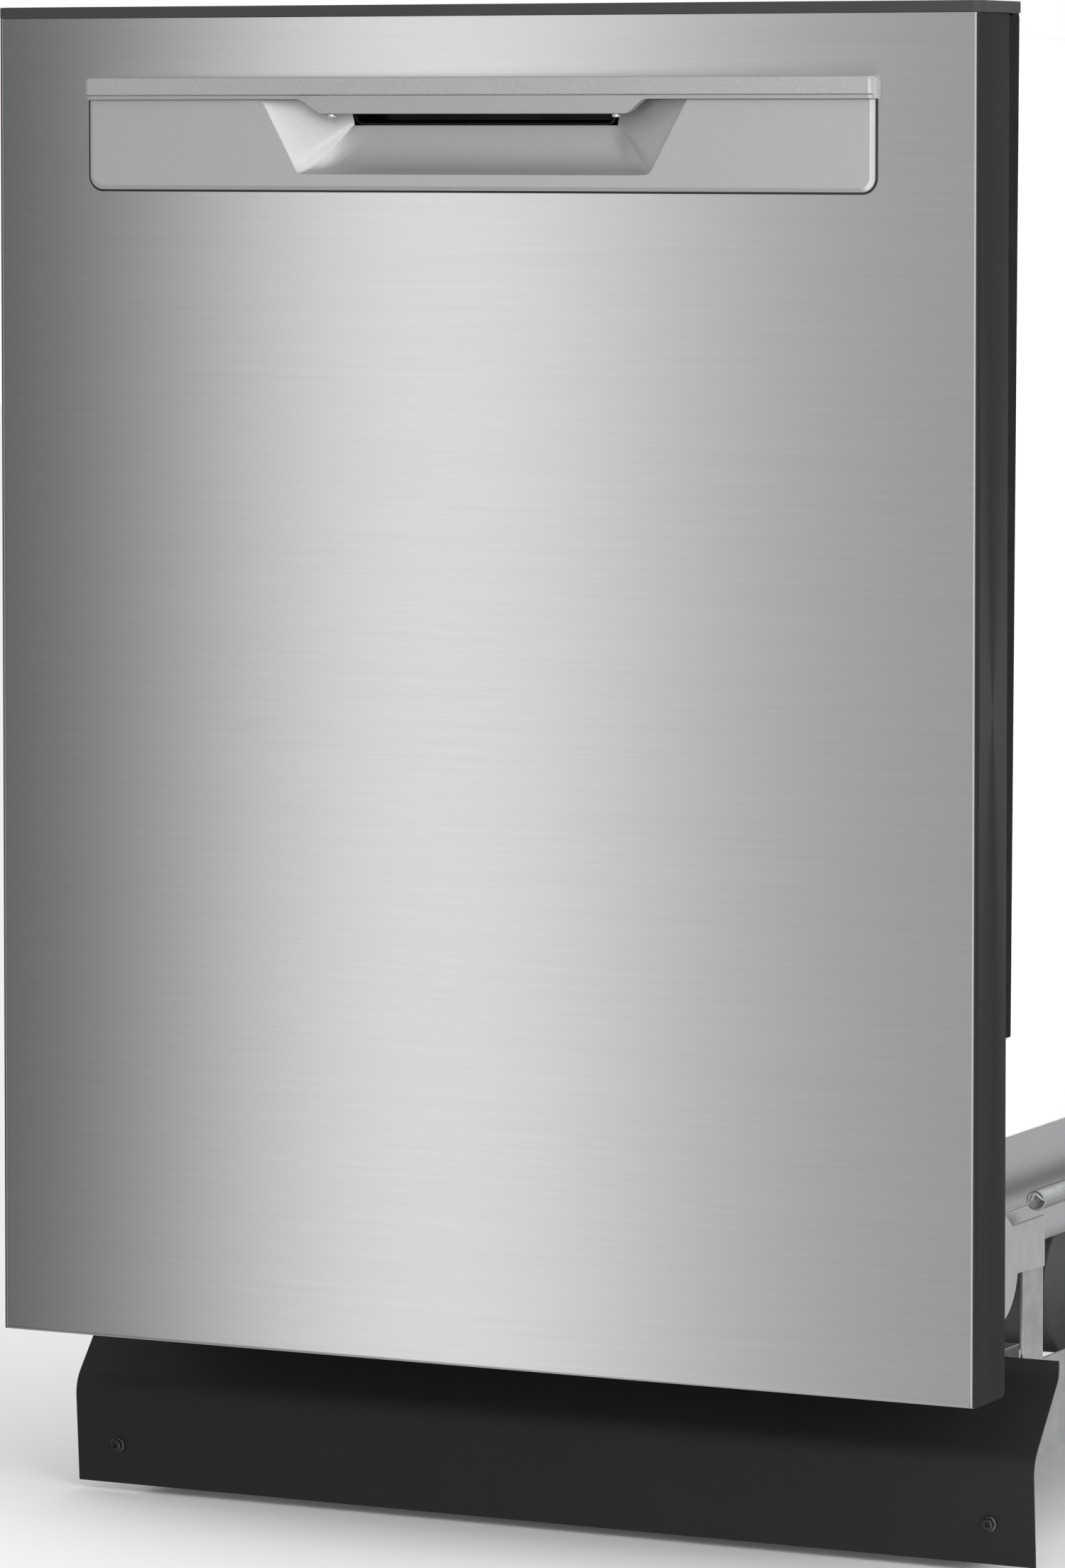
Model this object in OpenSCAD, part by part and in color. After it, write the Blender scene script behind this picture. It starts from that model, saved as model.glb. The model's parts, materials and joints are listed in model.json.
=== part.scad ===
// Built-in dishwasher with a top-edge control console, a recessed pocket handle and a folded toe kick.
// Frame: X is the width (right is +X), the door faces -Y, Z is up, the floor is at Z = 0.
// "Depth" below means the distance behind the steel front face, and "rise" the height above the door's foot.

/* [Overall size] */
// Width across the console strip, the widest piece
overall_w = 609; // [607:0.5:611]
// Depth from the front of the grip bar to the back of the machine
overall_d = 622; // [616:1:640]
// Height of the door's bottom edge above the floor
door_z = 108; // [106:1:110]

/* [Door] */
// Width of the steel front panel
door_w = 606; // [602:1:606]
// Height of the steel front panel
door_h = 755; // [753:1:757]
// Depth of the panel's folded side returns
pan_d = 42; // [41:0.5:42]
// Bend radius of the panel's upright front edges
bend_r = 3; // [2:0.5:4]
// Height of the console strip that shows above the steel
strip_h = 6.5; // [6:0.5:8]
// Depth of the inner door's rear face at the top
liner_top_depth = 64.6; // [63:0.2:65]
// Depth of the inner door's rear face at the bottom
liner_low_depth = 57; // [56:0.5:58]

/* [Handle] */
// Width of the handle fascia
fascia_w = 485; // [470:1:500]
// Rise of the fascia's bottom edge
fascia_low = 658; // [655:1:660]
// How far the fascia stands proud of the steel
fascia_proud = 2.5; // [2:0.5:3]
// How far the grip bar stands proud of the steel
bar_proud = 7; // [6:0.5:8]
// Depth of the finger pocket
pocket_d = 34; // [28:1:34]

/* [Tub and base] */
// Inner width of the wash tub
tub_w = 540; // [530:2:540]
// Height of the tub floor above the floor of the room
tub_floor = 172; // [171:1:174]
// Height of the tub ceiling above the floor of the room
tub_top = 842; // [838:1:843]
// Height of the door's hinge axis
hinge_z = 175; // [174:1:176]
// Depth of the door's hinge axis
hinge_depth = 55; // [54:0.5:55]

/* [Hidden] */
$fn = 48;

sheet = 1;
door_y = -overall_d / 2 + bar_proud;
back_y = overall_d / 2;
door_top = door_z + door_h;
top_z = door_top + strip_h;
hinge_y = door_y + hinge_depth;

// Console and its buttons
strip_d = 55;
strip_corner_r = 6;
console_low = 833;
console_back = 40;
button_w = 24;
button_d = 12;
button_depth = 22;
button_travel = 1;
button_gap = 0.3;
button_xs = [-250, -120, -60, 250];
display_x = 90;
display_w = 120;
display_d = 14;

// Handle, as rises above the door's foot
bar_half = 243;
bar_low = 708.5;
bar_step = 711;
bar_top = 721.3;
drop_low = 700.7;
drop_top_half = 108;
drop_low_half = 93;
pocket_top_half = 131.5;
pocket_low_half = 108;
pocket_low = 667.3;
pocket_back_low = 688;
pocket_back_top = 713;
slot_half = 83;
slot_low = 694.4;
lip_screw_r = 1.2;
window_half = 239;
window_low = 664;
window_top = 716;

// Inner door
liner_half = 300;
liner_foot = 304;
liner_top = 866.5;
liner_corner_r = 7;
liner_step = [55.4, 862.5];
liner_wall = 2;
liner_front_depth = pan_d + 0.3;
apron_half = 278;
apron_low = 178;
dispenser_x = [-140, 60];
dispenser_z = [470, 574];
dispenser_depth = 66;
vent_x = 185;
vent_z = 650;
vent_r = 34;
latch_half = 32;
latch_z = [812, 855];

// Tub, seal and blanket
tub_wall = 1.5;
tub_half = tub_w / 2;
tub_front = -236;
tub_back = 286;
tub_r = 24;
tub_low_r = 8;
flange_half = 290;
flange_low_half = 278;
flange_top = 852;
blanket_half = 283;
blanket_top = 853;
blanket_low = 240;
mid_y = (tub_front + tub_back) / 2 + 1;

// Hinge, spring and cable
pin_r = 5;
hinge_gap = 0.08;
bracket_x = 280;
arm_x = 284;
plate_t = 2.5;
wheel_x = 287;
wheel_w = 6;
wheel_r = 31;
cable_r = 1.2;
cable_run_r = 30;
spring_r = 6;
spring_x = wheel_x + wheel_w / 2;

// Base
frame_half = 280;
frame_low = 56;
frame_web_top = 110;
frame_front = -178;
frame_back = back_y;
leg_x = 262;
leg_front_y = -158;
leg_rear_y = 290;
leg_r = 4;
leg_gap = 0.08;

// Toe kick, as height above the floor and depth behind the steel face
kick_half = 303;
kick_t = 1.2;
kick_low = [88, 5];
kick_fold = [84, 64];
kick_rise = [121.5, 106];
kick_top = [121.5, 115.4];
kick_screw_x = 276;
kick_screw_z = 28;

// Wash system
sump_r = 98;
filter_x = 40;
filter_y = mid_y - 22;
filter_r = 28;
heater_r = 180;
heater_gap = 11.5;
heater_leg_x = heater_r * sin(heater_gap);
heater_leg_y = heater_r * cos(heater_gap);
arm_z = tub_floor + 34;
middle_arm_z = 538;
pump_y = 40;
pump_z = 122;
inlet_r = 13;
rail_z = 640;
rack_front = -225;
rack_back = 256;
lower_rack_z = [228, 400];
upper_rack_z = [566, 690];
ledge = [tub_floor + 4.5, tub_floor + 8.5];
wheel_r_rack = 14.6;
wheel_z = ledge[1] + wheel_r_rack + 0.4;
wheel_ys = [-140, 190];
float_at = [-190, -150];
valve_at = [-205, -120];

// Finds the point of the profile at a height on the inner door's slanted rear face.
function liner_depth(z) = liner_low_depth
    + (liner_top_depth - liner_low_depth) * (z - liner_foot) / (liner_top - liner_corner_r - liner_foot);
function unit(v) = v / norm(v);
function heading(p, i) = unit(p[min(i + 1, len(p) - 1)] - p[max(i - 1, 0)]);
function square_to(s, t) = unit(s - t * (s * t));
function side_vectors(p, i, s) = i >= len(p)
    ? []
    : let (n = square_to(s, heading(p, i))) concat([n], side_vectors(p, i + 1, n));
function curve_at(a, b, c, d, t) = 0.5 * (2 * b + (c - a) * t + (2 * a - 5 * b + 4 * c - d) * t * t
    + (3 * b - a - 3 * c + d) * t * t * t);
function smooth(p, n) = concat(
    [for (i = [0:len(p) - 2], k = [0:n - 1])
        curve_at(p[max(i - 1, 0)], p[i], p[i + 1], p[min(i + 2, len(p) - 1)], k / n)],
    [p[len(p) - 1]]
);

// Sweeps a closed tube along a list of points.
module tube_along(p, r, sides = 10) {
    rings = len(p);
    across = side_vectors(p, 0, square_to([0.3, 0.5, 0.8], heading(p, 0)));
    skin = [for (i = [0:rings - 1], k = [0:sides - 1])
        let (t = heading(p, i), u = across[i], v = cross(t, u))
            p[i] + r * (cos(360 * k / sides) * u + sin(360 * k / sides) * v)];
    walls = [for (i = [0:rings - 2], k = [0:sides - 1])
        let (a = i * sides + k, b = i * sides + (k + 1) % sides) [a, a + sides, b + sides, b]];
    first = [for (k = [0:sides - 1]) k];
    last = [for (k = [sides - 1:-1:0]) (rings - 1) * sides + k];
    polyhedron(points = skin, faces = concat([first], walls, [last]));
}

// Extrudes a Y-Z outline across the width, from x to x + t.
module across_x(x, t) {
    translate([x, 0, 0]) rotate([90, 0, 90]) linear_extrude(t) children();
}

// Extrudes an X-Z outline backwards, from y to y + t.
module along_y(y, t) {
    translate([0, y + t, 0]) rotate([90, 0, 0]) linear_extrude(t) children();
}

// A rectangle with true round corners, its lower left corner at the origin.
module round_rect(w, h, r) {
    translate([r, 0]) square([w - 2 * r, h]);
    translate([0, r]) square([w, h - 2 * r]);
    for (x = [r, w - r], y = [r, h - r]) translate([x, y]) circle(r);
}

// A plan outline of the door, rounded at its two front corners.
module front_rounded(w, d, r) {
    translate([-w / 2 + r, 0]) square([w - 2 * r, d]);
    translate([-w / 2, r]) square([w, d - r]);
    for (s = [-1, 1]) translate([s * (w / 2 - r), r]) circle(r);
}

// A block from its lowest to its highest corner.
module block(low, high) {
    translate(low) cube(high - low);
}

module mirrored_x() {
    children();
    mirror([1, 0, 0]) children();
}

module door_panel() {
    hinge_slot = [276, 297];
    relief = 4;
    color("#c4c4c4") difference() {
        union() {
            translate([0, door_y, door_z]) linear_extrude(door_h) difference() {
                front_rounded(door_w, pan_d, bend_r);
                translate([0, sheet]) front_rounded(door_w - 2 * sheet, pan_d, bend_r - sheet);
            }
            block(
                [-door_w / 2 + relief, door_y + sheet / 2, door_z],
                [door_w / 2 - relief, door_y + pan_d, door_z + sheet]
            );
        }
        block(
            [-window_half, door_y - 1, door_z + window_low],
            [window_half, door_y + 2, door_z + window_top]
        );
        mirrored_x() block(
            [hinge_slot[0], door_y + 6, door_z - 1],
            [hinge_slot[1], door_y + pan_d + 1, door_z + 2]
        );
    }
}

module button_outline(grow) {
    round_rect(button_w + 2 * grow, button_d + 2 * grow, 3 + grow);
}

module at_button(i, grow, z) {
    translate([
        button_xs[i] - button_w / 2 - grow, door_y + button_depth - button_d / 2 - grow, z
    ]) children();
}

module control_console() {
    skin = 2.5;
    color("#404040") difference() {
        union() {
            translate([0, door_y, door_top]) linear_extrude(strip_h)
                front_rounded(overall_w, strip_d, strip_corner_r);
            block([-296, door_y + 3, console_low], [296, door_y + console_back, door_top]);
        }
        block(
            [-296 + skin, door_y + 3 + skin, console_low - 1],
            [296 - skin, door_y + console_back - skin, top_z - skin]
        );
        for (i = [0:len(button_xs) - 1]) at_button(i, button_gap, top_z - skin - 1)
            linear_extrude(skin + 2) button_outline(button_gap);
        translate([display_x - display_w / 2, door_y + button_depth - display_d / 2, top_z - 0.8])
            cube([display_w, display_d, 2]);
    }
}

module display_window() {
    inset = 0.2;
    color("#101214") translate([
        display_x - display_w / 2 + inset, door_y + button_depth - display_d / 2 + inset, top_z - 0.8
    ]) cube([display_w - 2 * inset, display_d - 2 * inset, 0.7]);
}

// The stem ends in a wider foot that keeps the cap under the console's skin.
module push_button(i) {
    rim = 1.5;
    cap_top = top_z - 0.1;
    foot_top = top_z - 2.6;
    foot_low = top_z - 5.6;
    color("#5c5c5c") {
        at_button(i, 0, foot_top - 0.5) linear_extrude(cap_top - foot_top + 0.5) button_outline(0);
        at_button(i, rim, foot_low) linear_extrude(foot_top - foot_low) button_outline(rim);
    }
}

module power_button() {
    push_button(0);
}

module cycle_button() {
    push_button(1);
}

module options_button() {
    push_button(2);
}

module start_button() {
    push_button(3);
}

module control_board() {
    board_z = top_z - 12;
    key_top = top_z - 5.6 - button_travel - 0.3;
    color("#1f6b3a") {
        block([-280, door_y + 9, board_z], [280, door_y + 35, board_z + 1.6]);
        for (x = button_xs) translate([x, door_y + button_depth, board_z + 1])
            cylinder(r = 3, h = key_top - board_z - 1);
        block([-220, door_y + 12, board_z - 16], [-170, door_y + 32, board_z + 0.5]);
        block([-40, door_y + 12, board_z - 9], [20, door_y + 32, board_z + 0.5]);
    }
}

module fascia_outline(inset, low_r) {
    w = fascia_w - 2 * inset;
    low = fascia_low + inset;
    hull() {
        for (s = [-1, 1]) translate([s * (w / 2 - low_r), low + low_r]) circle(low_r);
        translate([-w / 2, bar_low - 1]) square([w, 1]);
    }
}

module pocket_mouth(grow) {
    polygon([
        [-pocket_low_half - grow, pocket_low - grow], [pocket_low_half + grow, pocket_low - grow],
        [pocket_top_half + grow, bar_low + grow], [-pocket_top_half - grow, bar_low + grow]
    ]);
}

// A scoop that narrows and climbs from the mouth to the finger slot at its back.
module scoop(grow, front) {
    back_r = 9;
    hull() {
        along_y(front, 1) pocket_mouth(grow);
        for (s = [-1, 1], rise = [pocket_back_low + back_r, pocket_back_top - back_r])
            translate([s * (slot_half - 2), door_y + pocket_d + grow - back_r, rise])
                sphere(back_r, $fn = 32);
    }
}

module handle_fascia() {
    bevel = 2.4;
    wall = 2;
    color("#a9a9a9") translate([0, 0, door_z]) difference() {
        union() {
            hull() {
                along_y(door_y - 0.3, 0.3) fascia_outline(0, 5.5);
                along_y(door_y - fascia_proud, 0.2) fascia_outline(bevel, 4);
            }
            difference() {
                block(
                    [-window_half + 1, door_y - 0.2, window_low + 1],
                    [window_half - 1, door_y + 12, bar_low]
                );
                block(
                    [-window_half + 3, door_y, window_low + 3],
                    [window_half - 3, door_y + 13, bar_low + 1]
                );
            }
            intersection() {
                scoop(wall, door_y - 1);
                block([-200, door_y - 1, 600], [200, door_y + pocket_d + 10, bar_low]);
            }
        }
        scoop(0, door_y - fascia_proud - 1);
        block([-slot_half, door_y + 15, slot_low], [slot_half, door_y + pocket_d + 10, bar_low + 1]);
    }
}

module at_lip_screws(z) {
    mirrored_x() translate([drop_low_half - 5, door_y - 0.5, drop_low + z]) children();
}

// The body of the bar with its shallow step, and the drooping lip over the middle of the pocket.
module grip_bar() {
    step = 0.8;
    lip_back = 3;
    tail = 9;
    color("#b2b2b2") translate([0, 0, door_z]) difference() {
        union() {
            across_x(-bar_half, 2 * bar_half) polygon([
                [door_y, bar_low + 0.2], [door_y - bar_proud + step, bar_low + 0.2],
                [door_y - bar_proud + step, bar_step], [door_y - bar_proud, bar_step + 0.6],
                [door_y - bar_proud, bar_top - 1.6], [door_y - bar_proud + 1.6, bar_top], [door_y, bar_top]
            ]);
            block(
                [-window_half + 1, door_y - 1, bar_low + 0.2],
                [window_half - 1, door_y + tail, window_top - 1]
            );
            intersection() {
                along_y(door_y - bar_proud, bar_proud + tail) polygon([
                    [-drop_top_half, bar_low + 1], [-drop_low_half, drop_low],
                    [drop_low_half, drop_low], [drop_top_half, bar_low + 1]
                ]);
                across_x(-drop_top_half, 2 * drop_top_half) polygon([
                    [door_y - bar_proud + step, bar_low + 1], [door_y - lip_back, drop_low],
                    [door_y + 2, drop_low], [door_y + tail, bar_low + 1]
                ]);
            }
        }
        at_lip_screws(-2) cylinder(r = lip_screw_r + 0.1, h = 7);
    }
}

module handle_screws() {
    color("#d8d8d8") translate([0, 0, door_z]) at_lip_screws(-1.5) {
        cylinder(r = 2.4, h = 1.5);
        translate([0, 0, 1.4]) cylinder(r = lip_screw_r, h = 4);
    }
}

// The black finger stop that closes the slot behind the lip.
module finger_slot() {
    color("#16181a") translate([0, 0, door_z]) difference() {
        block(
            [-slot_half + 0.3, door_y + 16, slot_low + 0.3],
            [slot_half - 0.3, door_y + pocket_d + 4, bar_low - 0.3]
        );
        block(
            [-slot_half + 3, door_y + 15, slot_low + 2],
            [slot_half - 3, door_y + pocket_d + 2, bar_low - 2.5]
        );
    }
}

// Side outline of the inner door, inset all round by a wall.
module liner_outline(inset) {
    r = liner_corner_r - inset;
    top = liner_top - inset;
    rear = liner_top_depth - inset;
    polygon(concat(
        [[door_y + liner_low_depth - inset, liner_foot + inset]],
        [for (a = [0:10:90])
            [door_y + rear - r + r * cos(a), top - r + r * sin(a)]],
        [[door_y + liner_step[0] + inset, top], [door_y + liner_step[0] + inset, liner_step[1] - inset],
         [door_y + liner_front_depth - (inset > 0 ? 1 : 0), liner_step[1] - inset],
         [door_y + liner_front_depth - (inset > 0 ? 1 : 0), liner_foot + inset]]
    ));
}

module door_liner() {
    color("#202222") difference() {
        union() {
            difference() {
                across_x(-liner_half, 2 * liner_half) liner_outline(0);
                across_x(-liner_half + liner_wall, 2 * (liner_half - liner_wall))
                    liner_outline(liner_wall);
            }
            difference() {
                block(
                    [-apron_half, door_y + liner_front_depth, apron_low],
                    [apron_half, door_y + liner_low_depth, liner_foot + 1]
                );
                block(
                    [-apron_half + liner_wall, door_y + liner_front_depth - 1, apron_low + liner_wall],
                    [apron_half - liner_wall, door_y + liner_low_depth - liner_wall, liner_foot + 10]
                );
            }
        }
        block(
            [dispenser_x[0] + 5, door_y + 50, dispenser_z[0] + 5],
            [dispenser_x[1] - 5, door_y + 70, dispenser_z[1] - 5]
        );
        translate([vent_x, door_y + 50, vent_z]) rotate([-90, 0, 0]) cylinder(r = vent_r - 5, h = 20);
        block(
            [-latch_half - 1, door_y + liner_front_depth - 1, latch_z[0] - 1],
            [latch_half + 1, door_y + 70, latch_z[1] + 1]
        );
        mirrored_x() block(
            [arm_x - 0.5, door_y + liner_front_depth - 1, liner_foot - 1],
            [liner_half - liner_wall, hinge_y + 0.5, liner_foot + liner_wall + 1]
        );
    }
}

module door_insulation() {
    color("#8c8474") block([-270, door_y + 4, 122], [270, door_y + pan_d - 2, 745]);
}

// A soft blade along the foot of the inner door.
module door_foot_seal() {
    seal_half = 246;
    color("#1a1a1a") across_x(-seal_half, 2 * seal_half)
        translate([door_y + liner_low_depth, apron_low])
            polygon([[0, 4], [0, 18], [7, 10], [10.4, 1], [8.4, 1], [5, 7]]);
}

module dispenser_body() {
    rear = door_y + dispenser_depth;
    cup_x = [-58, -4];
    cup_z = [492, 552];
    cap_x = 30;
    color("#55585a") difference() {
        union() {
            block([dispenser_x[0], rear - 5, dispenser_z[0]], [dispenser_x[1], rear, dispenser_z[1]]);
            block(
                [dispenser_x[0] + 6, door_y + 46, dispenser_z[0] + 6],
                [dispenser_x[1] - 6, rear - 4, dispenser_z[1] - 6]
            );
        }
        block([cup_x[0], rear - 16, cup_z[0]], [cup_x[1], rear + 1, cup_z[1]]);
        translate([cap_x, rear - 12, 522]) rotate([-90, 0, 0]) cylinder(r = 11, h = 14);
    }
}

module dispenser_lid() {
    rear = door_y + dispenser_depth + 0.2;
    color("#6f7376") {
        block([-64, rear, 486], [2, rear + 2.4, 558]);
        block([-58, rear + 2, 516], [-52, rear + 5, 528]);
    }
}

module rinse_aid_cap() {
    rear = door_y + dispenser_depth;
    color("#3d6fb0") translate([30, rear - 10, 522]) rotate([-90, 0, 0]) {
        cylinder(r = 10.9, h = 10.4);
        translate([0, 0, 10.2]) cylinder(r = 15, h = 2.6);
        translate([-10, -1.6, 12.4]) cube([20, 3.2, 2.6]);
    }
}

module door_vent() {
    rear = door_y + liner_depth(vent_z);
    slat = 4;
    color("#3a3d40") translate([vent_x, rear, vent_z]) rotate([-90, 0, 0]) difference() {
        union() {
            translate([0, 0, 0.6]) cylinder(r = vent_r, h = 4);
            translate([0, 0, -14]) cylinder(r = vent_r - 5.2, h = 15);
        }
        for (k = [-2:2]) translate([-20, k * 9 - slat / 2, -8]) cube([40, slat, 20]);
    }
}

module latch_housing() {
    color("#2c2e30") difference() {
        block(
            [-latch_half, door_y + liner_front_depth + 0.2, latch_z[0]],
            [latch_half, door_y + liner_top_depth - 1, latch_z[1]]
        );
        block([-19, door_y + 48, 829], [19, door_y + 70, 843]);
    }
}

// Arm on the door: an upright plate, a boss on the hinge axis and a grooved cable wheel outside it.
module hinge_arm() {
    plate_low = 200;
    plate_high = 330;
    color("#9aa0a4") difference() {
        union() {
            across_x(arm_x, plate_t) {
                translate([hinge_y, hinge_z]) circle(14);
                translate([hinge_y - 14, hinge_z]) square([14, plate_high - hinge_z]);
            }
            across_x(arm_x, plate_t + 0.6) translate([hinge_y, hinge_z]) circle(12);
            translate([wheel_x, hinge_y, hinge_z]) rotate([0, 90, 0]) rotate_extrude() polygon([
                [0, 0], [wheel_r, 0], [wheel_r, 1.5], [cable_run_r - cable_r - 0.2, 1.5],
                [cable_run_r - cable_r - 0.2, wheel_w - 1.5], [wheel_r, wheel_w - 1.5], [wheel_r, wheel_w],
                [0, wheel_w]
            ]);
            block(
                [arm_x, hinge_y - 14, 250],
                [liner_half - liner_wall - 0.2, hinge_y - 11.5, plate_high]
            );
        }
        translate([arm_x - 1, hinge_y, hinge_z]) rotate([0, 90, 0])
            cylinder(r = pin_r + hinge_gap, h = wheel_w + plate_t + 4);
    }
}

module hinge_arm_left() {
    mirror([1, 0, 0]) hinge_arm();
}

module hinge_arm_right() {
    hinge_arm();
}

// Plate on the base that carries the hinge pin.
module hinge_bracket() {
    head_r = 8;
    color("#b9bcbe") {
        across_x(bracket_x, plate_t) {
            translate([hinge_y, hinge_z]) circle(11);
            polygon([
                [hinge_y, hinge_z - 8], [frame_front + 26, hinge_z - 12], [frame_front + 26, 192],
                [frame_front - 30, 192], [hinge_y, hinge_z + 11]
            ]);
        }
        translate([bracket_x, hinge_y, hinge_z]) rotate([0, 90, 0]) cylinder(r = pin_r, h = 15);
        translate([bracket_x + 13.6, hinge_y, hinge_z]) rotate([0, 90, 0]) cylinder(r = head_r, h = 1.8);
    }
}

module hinge_bracket_left() {
    mirror([1, 0, 0]) hinge_bracket();
}

module hinge_bracket_right() {
    hinge_bracket();
}

// The balance springs and their cables, which leave the hinge wheels at their highest points.
module door_springs() {
    line_z = hinge_z + cable_run_r;
    coil = [-185, 60];
    anchor_y = 96;
    color("#8d9296") mirrored_x() {
        translate([spring_x, hinge_y, line_z]) rotate([-90, 0, 0]) {
            cylinder(r = cable_r, h = coil[0] - hinge_y + 2);
            translate([0, 0, coil[0] - hinge_y]) cylinder(r = spring_r, h = coil[1] - coil[0]);
            translate([0, 0, coil[1] - hinge_y - 2]) cylinder(r = cable_r, h = anchor_y - coil[1] + 2);
        }
    }
}

module tub_outline(grow, low_r) {
    translate([-tub_half - grow, tub_floor - grow])
        round_rect(tub_w + 2 * grow, tub_top - tub_floor + 2 * grow, low_r + grow);
}

// The shell, and the two rails on its side walls that the lower rack's wheels run on.
module tub() {
    rail_w = 22;
    weld = 0.05;
    color("#c9ccce") {
        tub_shell();
        mirrored_x() block(
            [tub_half - rail_w, tub_front + 3, ledge[0]],
            [tub_half - weld, tub_back - 6, ledge[1]]
        );
    }
}

module tub_shell() {
    lip = 8;
    difference() {
        union() {
            along_y(tub_front, tub_back - tub_front + tub_wall) tub_outline(tub_wall, tub_low_r);
            along_y(tub_front, tub_wall) {
                translate([-flange_half, liner_foot]) square([2 * flange_half, flange_top - liner_foot]);
                translate([-flange_low_half, tub_floor - tub_wall])
                    square([2 * flange_low_half, liner_foot - tub_floor + tub_wall]);
            }
        }
        difference() {
            along_y(tub_front - 1, tub_back - tub_front + 1) tub_outline(0, tub_low_r);
            block(
                [-tub_half, tub_front - 2, tub_floor - 2],
                [tub_half, tub_front + tub_wall, tub_floor + lip]
            );
        }
        translate([0, mid_y, tub_floor - 5]) cylinder(r = sump_r - 6, h = 10);
        for (s = [-1, 1]) translate([s * heater_leg_x, mid_y + heater_leg_y, tub_floor - 5])
            cylinder(r = 4.6, h = 10);
        translate([float_at[0], float_at[1], tub_floor - 5]) cylinder(r = 8, h = 10);
        translate([0, tub_back - 7, tub_floor - 5]) cylinder(r = 6, h = 10);
    }
}

// A three-sided seal whose face follows the slant of the inner door.
module tub_gasket() {
    seal_in = tub_half + 3;
    seal_out = 287;
    seal_gap = 0.4;
    low = apron_low + 14;
    color("#2a2a2a") difference() {
        block([-seal_out, door_y + liner_low_depth, low], [seal_out, tub_front, flange_top - 2]);
        block(
            [-seal_in, door_y + liner_low_depth - 1, low - 1],
            [seal_in, tub_front + 1, tub_top + 2]
        );
        mirrored_x() block(
            [flange_low_half, door_y + liner_low_depth - 1, low - 1],
            [seal_out + 1, tub_front + 1, liner_foot + 1]
        );
        across_x(-300, 600) polygon([
            [door_y - 10, low - 10], [door_y + liner_low_depth + seal_gap, low - 10],
            [door_y + liner_low_depth + seal_gap, liner_foot - 1],
            [door_y + liner_top_depth + seal_gap, liner_top - liner_corner_r + 1],
            [door_y + liner_top_depth + seal_gap, 900], [door_y - 10, 900]
        ]);
    }
}

module insulation_blanket() {
    inner = tub_half + tub_wall + 0.3;
    ceiling = tub_top + tub_wall + 0.3;
    front = tub_front + 6;
    back = tub_back + tub_wall + 0.3;
    color("#e9e8e4") {
        difference() {
            block([-blanket_half, front, blanket_low], [blanket_half, back_y - 10, blanket_top]);
            block([-inner, front - 1, blanket_low - 1], [inner, back, ceiling]);
        }
    }
}

module base_frame() {
    web = 2;
    rail_w = 30;
    boss_r = 10;
    boss_low = 38;
    color("#a7abad") difference() {
        union() {
            mirrored_x() {
                block([frame_half - web, frame_front, frame_low], [frame_half, frame_back, frame_web_top]);
                block(
                    [frame_half - rail_w, frame_front, frame_low],
                    [frame_half, frame_back, frame_low + web]
                );
                for (y = [frame_front, frame_back - rail_w]) {
                    block([frame_half - web, y, frame_low], [frame_half, y + rail_w, tub_floor - tub_wall]);
                    block(
                        [frame_half - rail_w + 4, y, tub_floor - tub_wall - web],
                        [frame_half, y + rail_w, tub_floor - tub_wall]
                    );
                }
                for (y = [leg_front_y, leg_rear_y]) translate([leg_x, y, boss_low])
                    cylinder(r = boss_r, h = frame_low - boss_low + web);
                block([266, frame_front - 35.5, 10], [268, frame_front + web, 60]);
                block([256, frame_front - 36.5, 10], [284, frame_front - 34.5, 52]);
                block([frame_half - web, 90, frame_web_top - 1], [frame_half, 102, 214]);
                block([frame_half - web, 94, 196], [spring_x + 3, 98, 214]);
            }
            for (y = [frame_front, frame_back - web])
                block([-frame_half, y, frame_low], [frame_half, y + web, frame_web_top]);
            for (y = [frame_front, frame_back - rail_w])
                block([-frame_half, y, frame_low], [frame_half, y + rail_w, frame_low + web]);
            block([-frame_half, pump_y - 30, frame_low], [frame_half, pump_y + 50, frame_low + web]);
        }
        mirrored_x() {
            for (y = [leg_front_y, leg_rear_y]) translate([leg_x, y, boss_low - 1])
                cylinder(r = leg_r + leg_gap, h = 30);
            translate([kick_screw_x, frame_front - 40, kick_screw_z]) rotate([-90, 0, 0])
                cylinder(r = 2.2, h = 8);
            translate([spring_x, 90, hinge_z + cable_run_r]) rotate([-90, 0, 0])
                cylinder(r = cable_r + 0.1, h = 12);
        }
    }
}

module levelling_leg(side, y) {
    foot_r = 17;
    foot_h = 6;
    rod_top = 92;
    color("#3b3d3f") translate([side * leg_x, y, 0]) {
        cylinder(r = foot_r, h = foot_h);
        cylinder(r = leg_r, h = rod_top);
        translate([0, 0, foot_h - 0.5]) cylinder(r = 8, h = 8, $fn = 6);
    }
}

module leg_front_left() {
    levelling_leg(-1, leg_front_y);
}

module leg_front_right() {
    levelling_leg(1, leg_front_y);
}

module leg_rear_left() {
    levelling_leg(-1, leg_rear_y);
}

module leg_rear_right() {
    levelling_leg(1, leg_rear_y);
}

// A plate folded twice: an upright face, a slanted shelf and a short upright flange.
module toe_kick() {
    t = kick_t;
    color("#262626") difference() {
        across_x(-kick_half, 2 * kick_half) translate([door_y, 0]) polygon([
            kick_low, kick_fold, kick_fold + [1.2, 2.8], kick_rise - [2.2, 2.6], kick_rise + [0, 1.4],
            kick_top, kick_top + [t, 0], kick_rise + [t, 1.0],
            kick_rise - [1.3, 3.5], kick_fold + [2.1, 2.0],
            kick_fold + [t, 0], kick_low + [t, 0]
        ]);
        mirrored_x() translate([kick_screw_x, door_y + 80, kick_screw_z]) rotate([-90, 0, 0])
            cylinder(r = 2.4, h = 20);
    }
}

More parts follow.
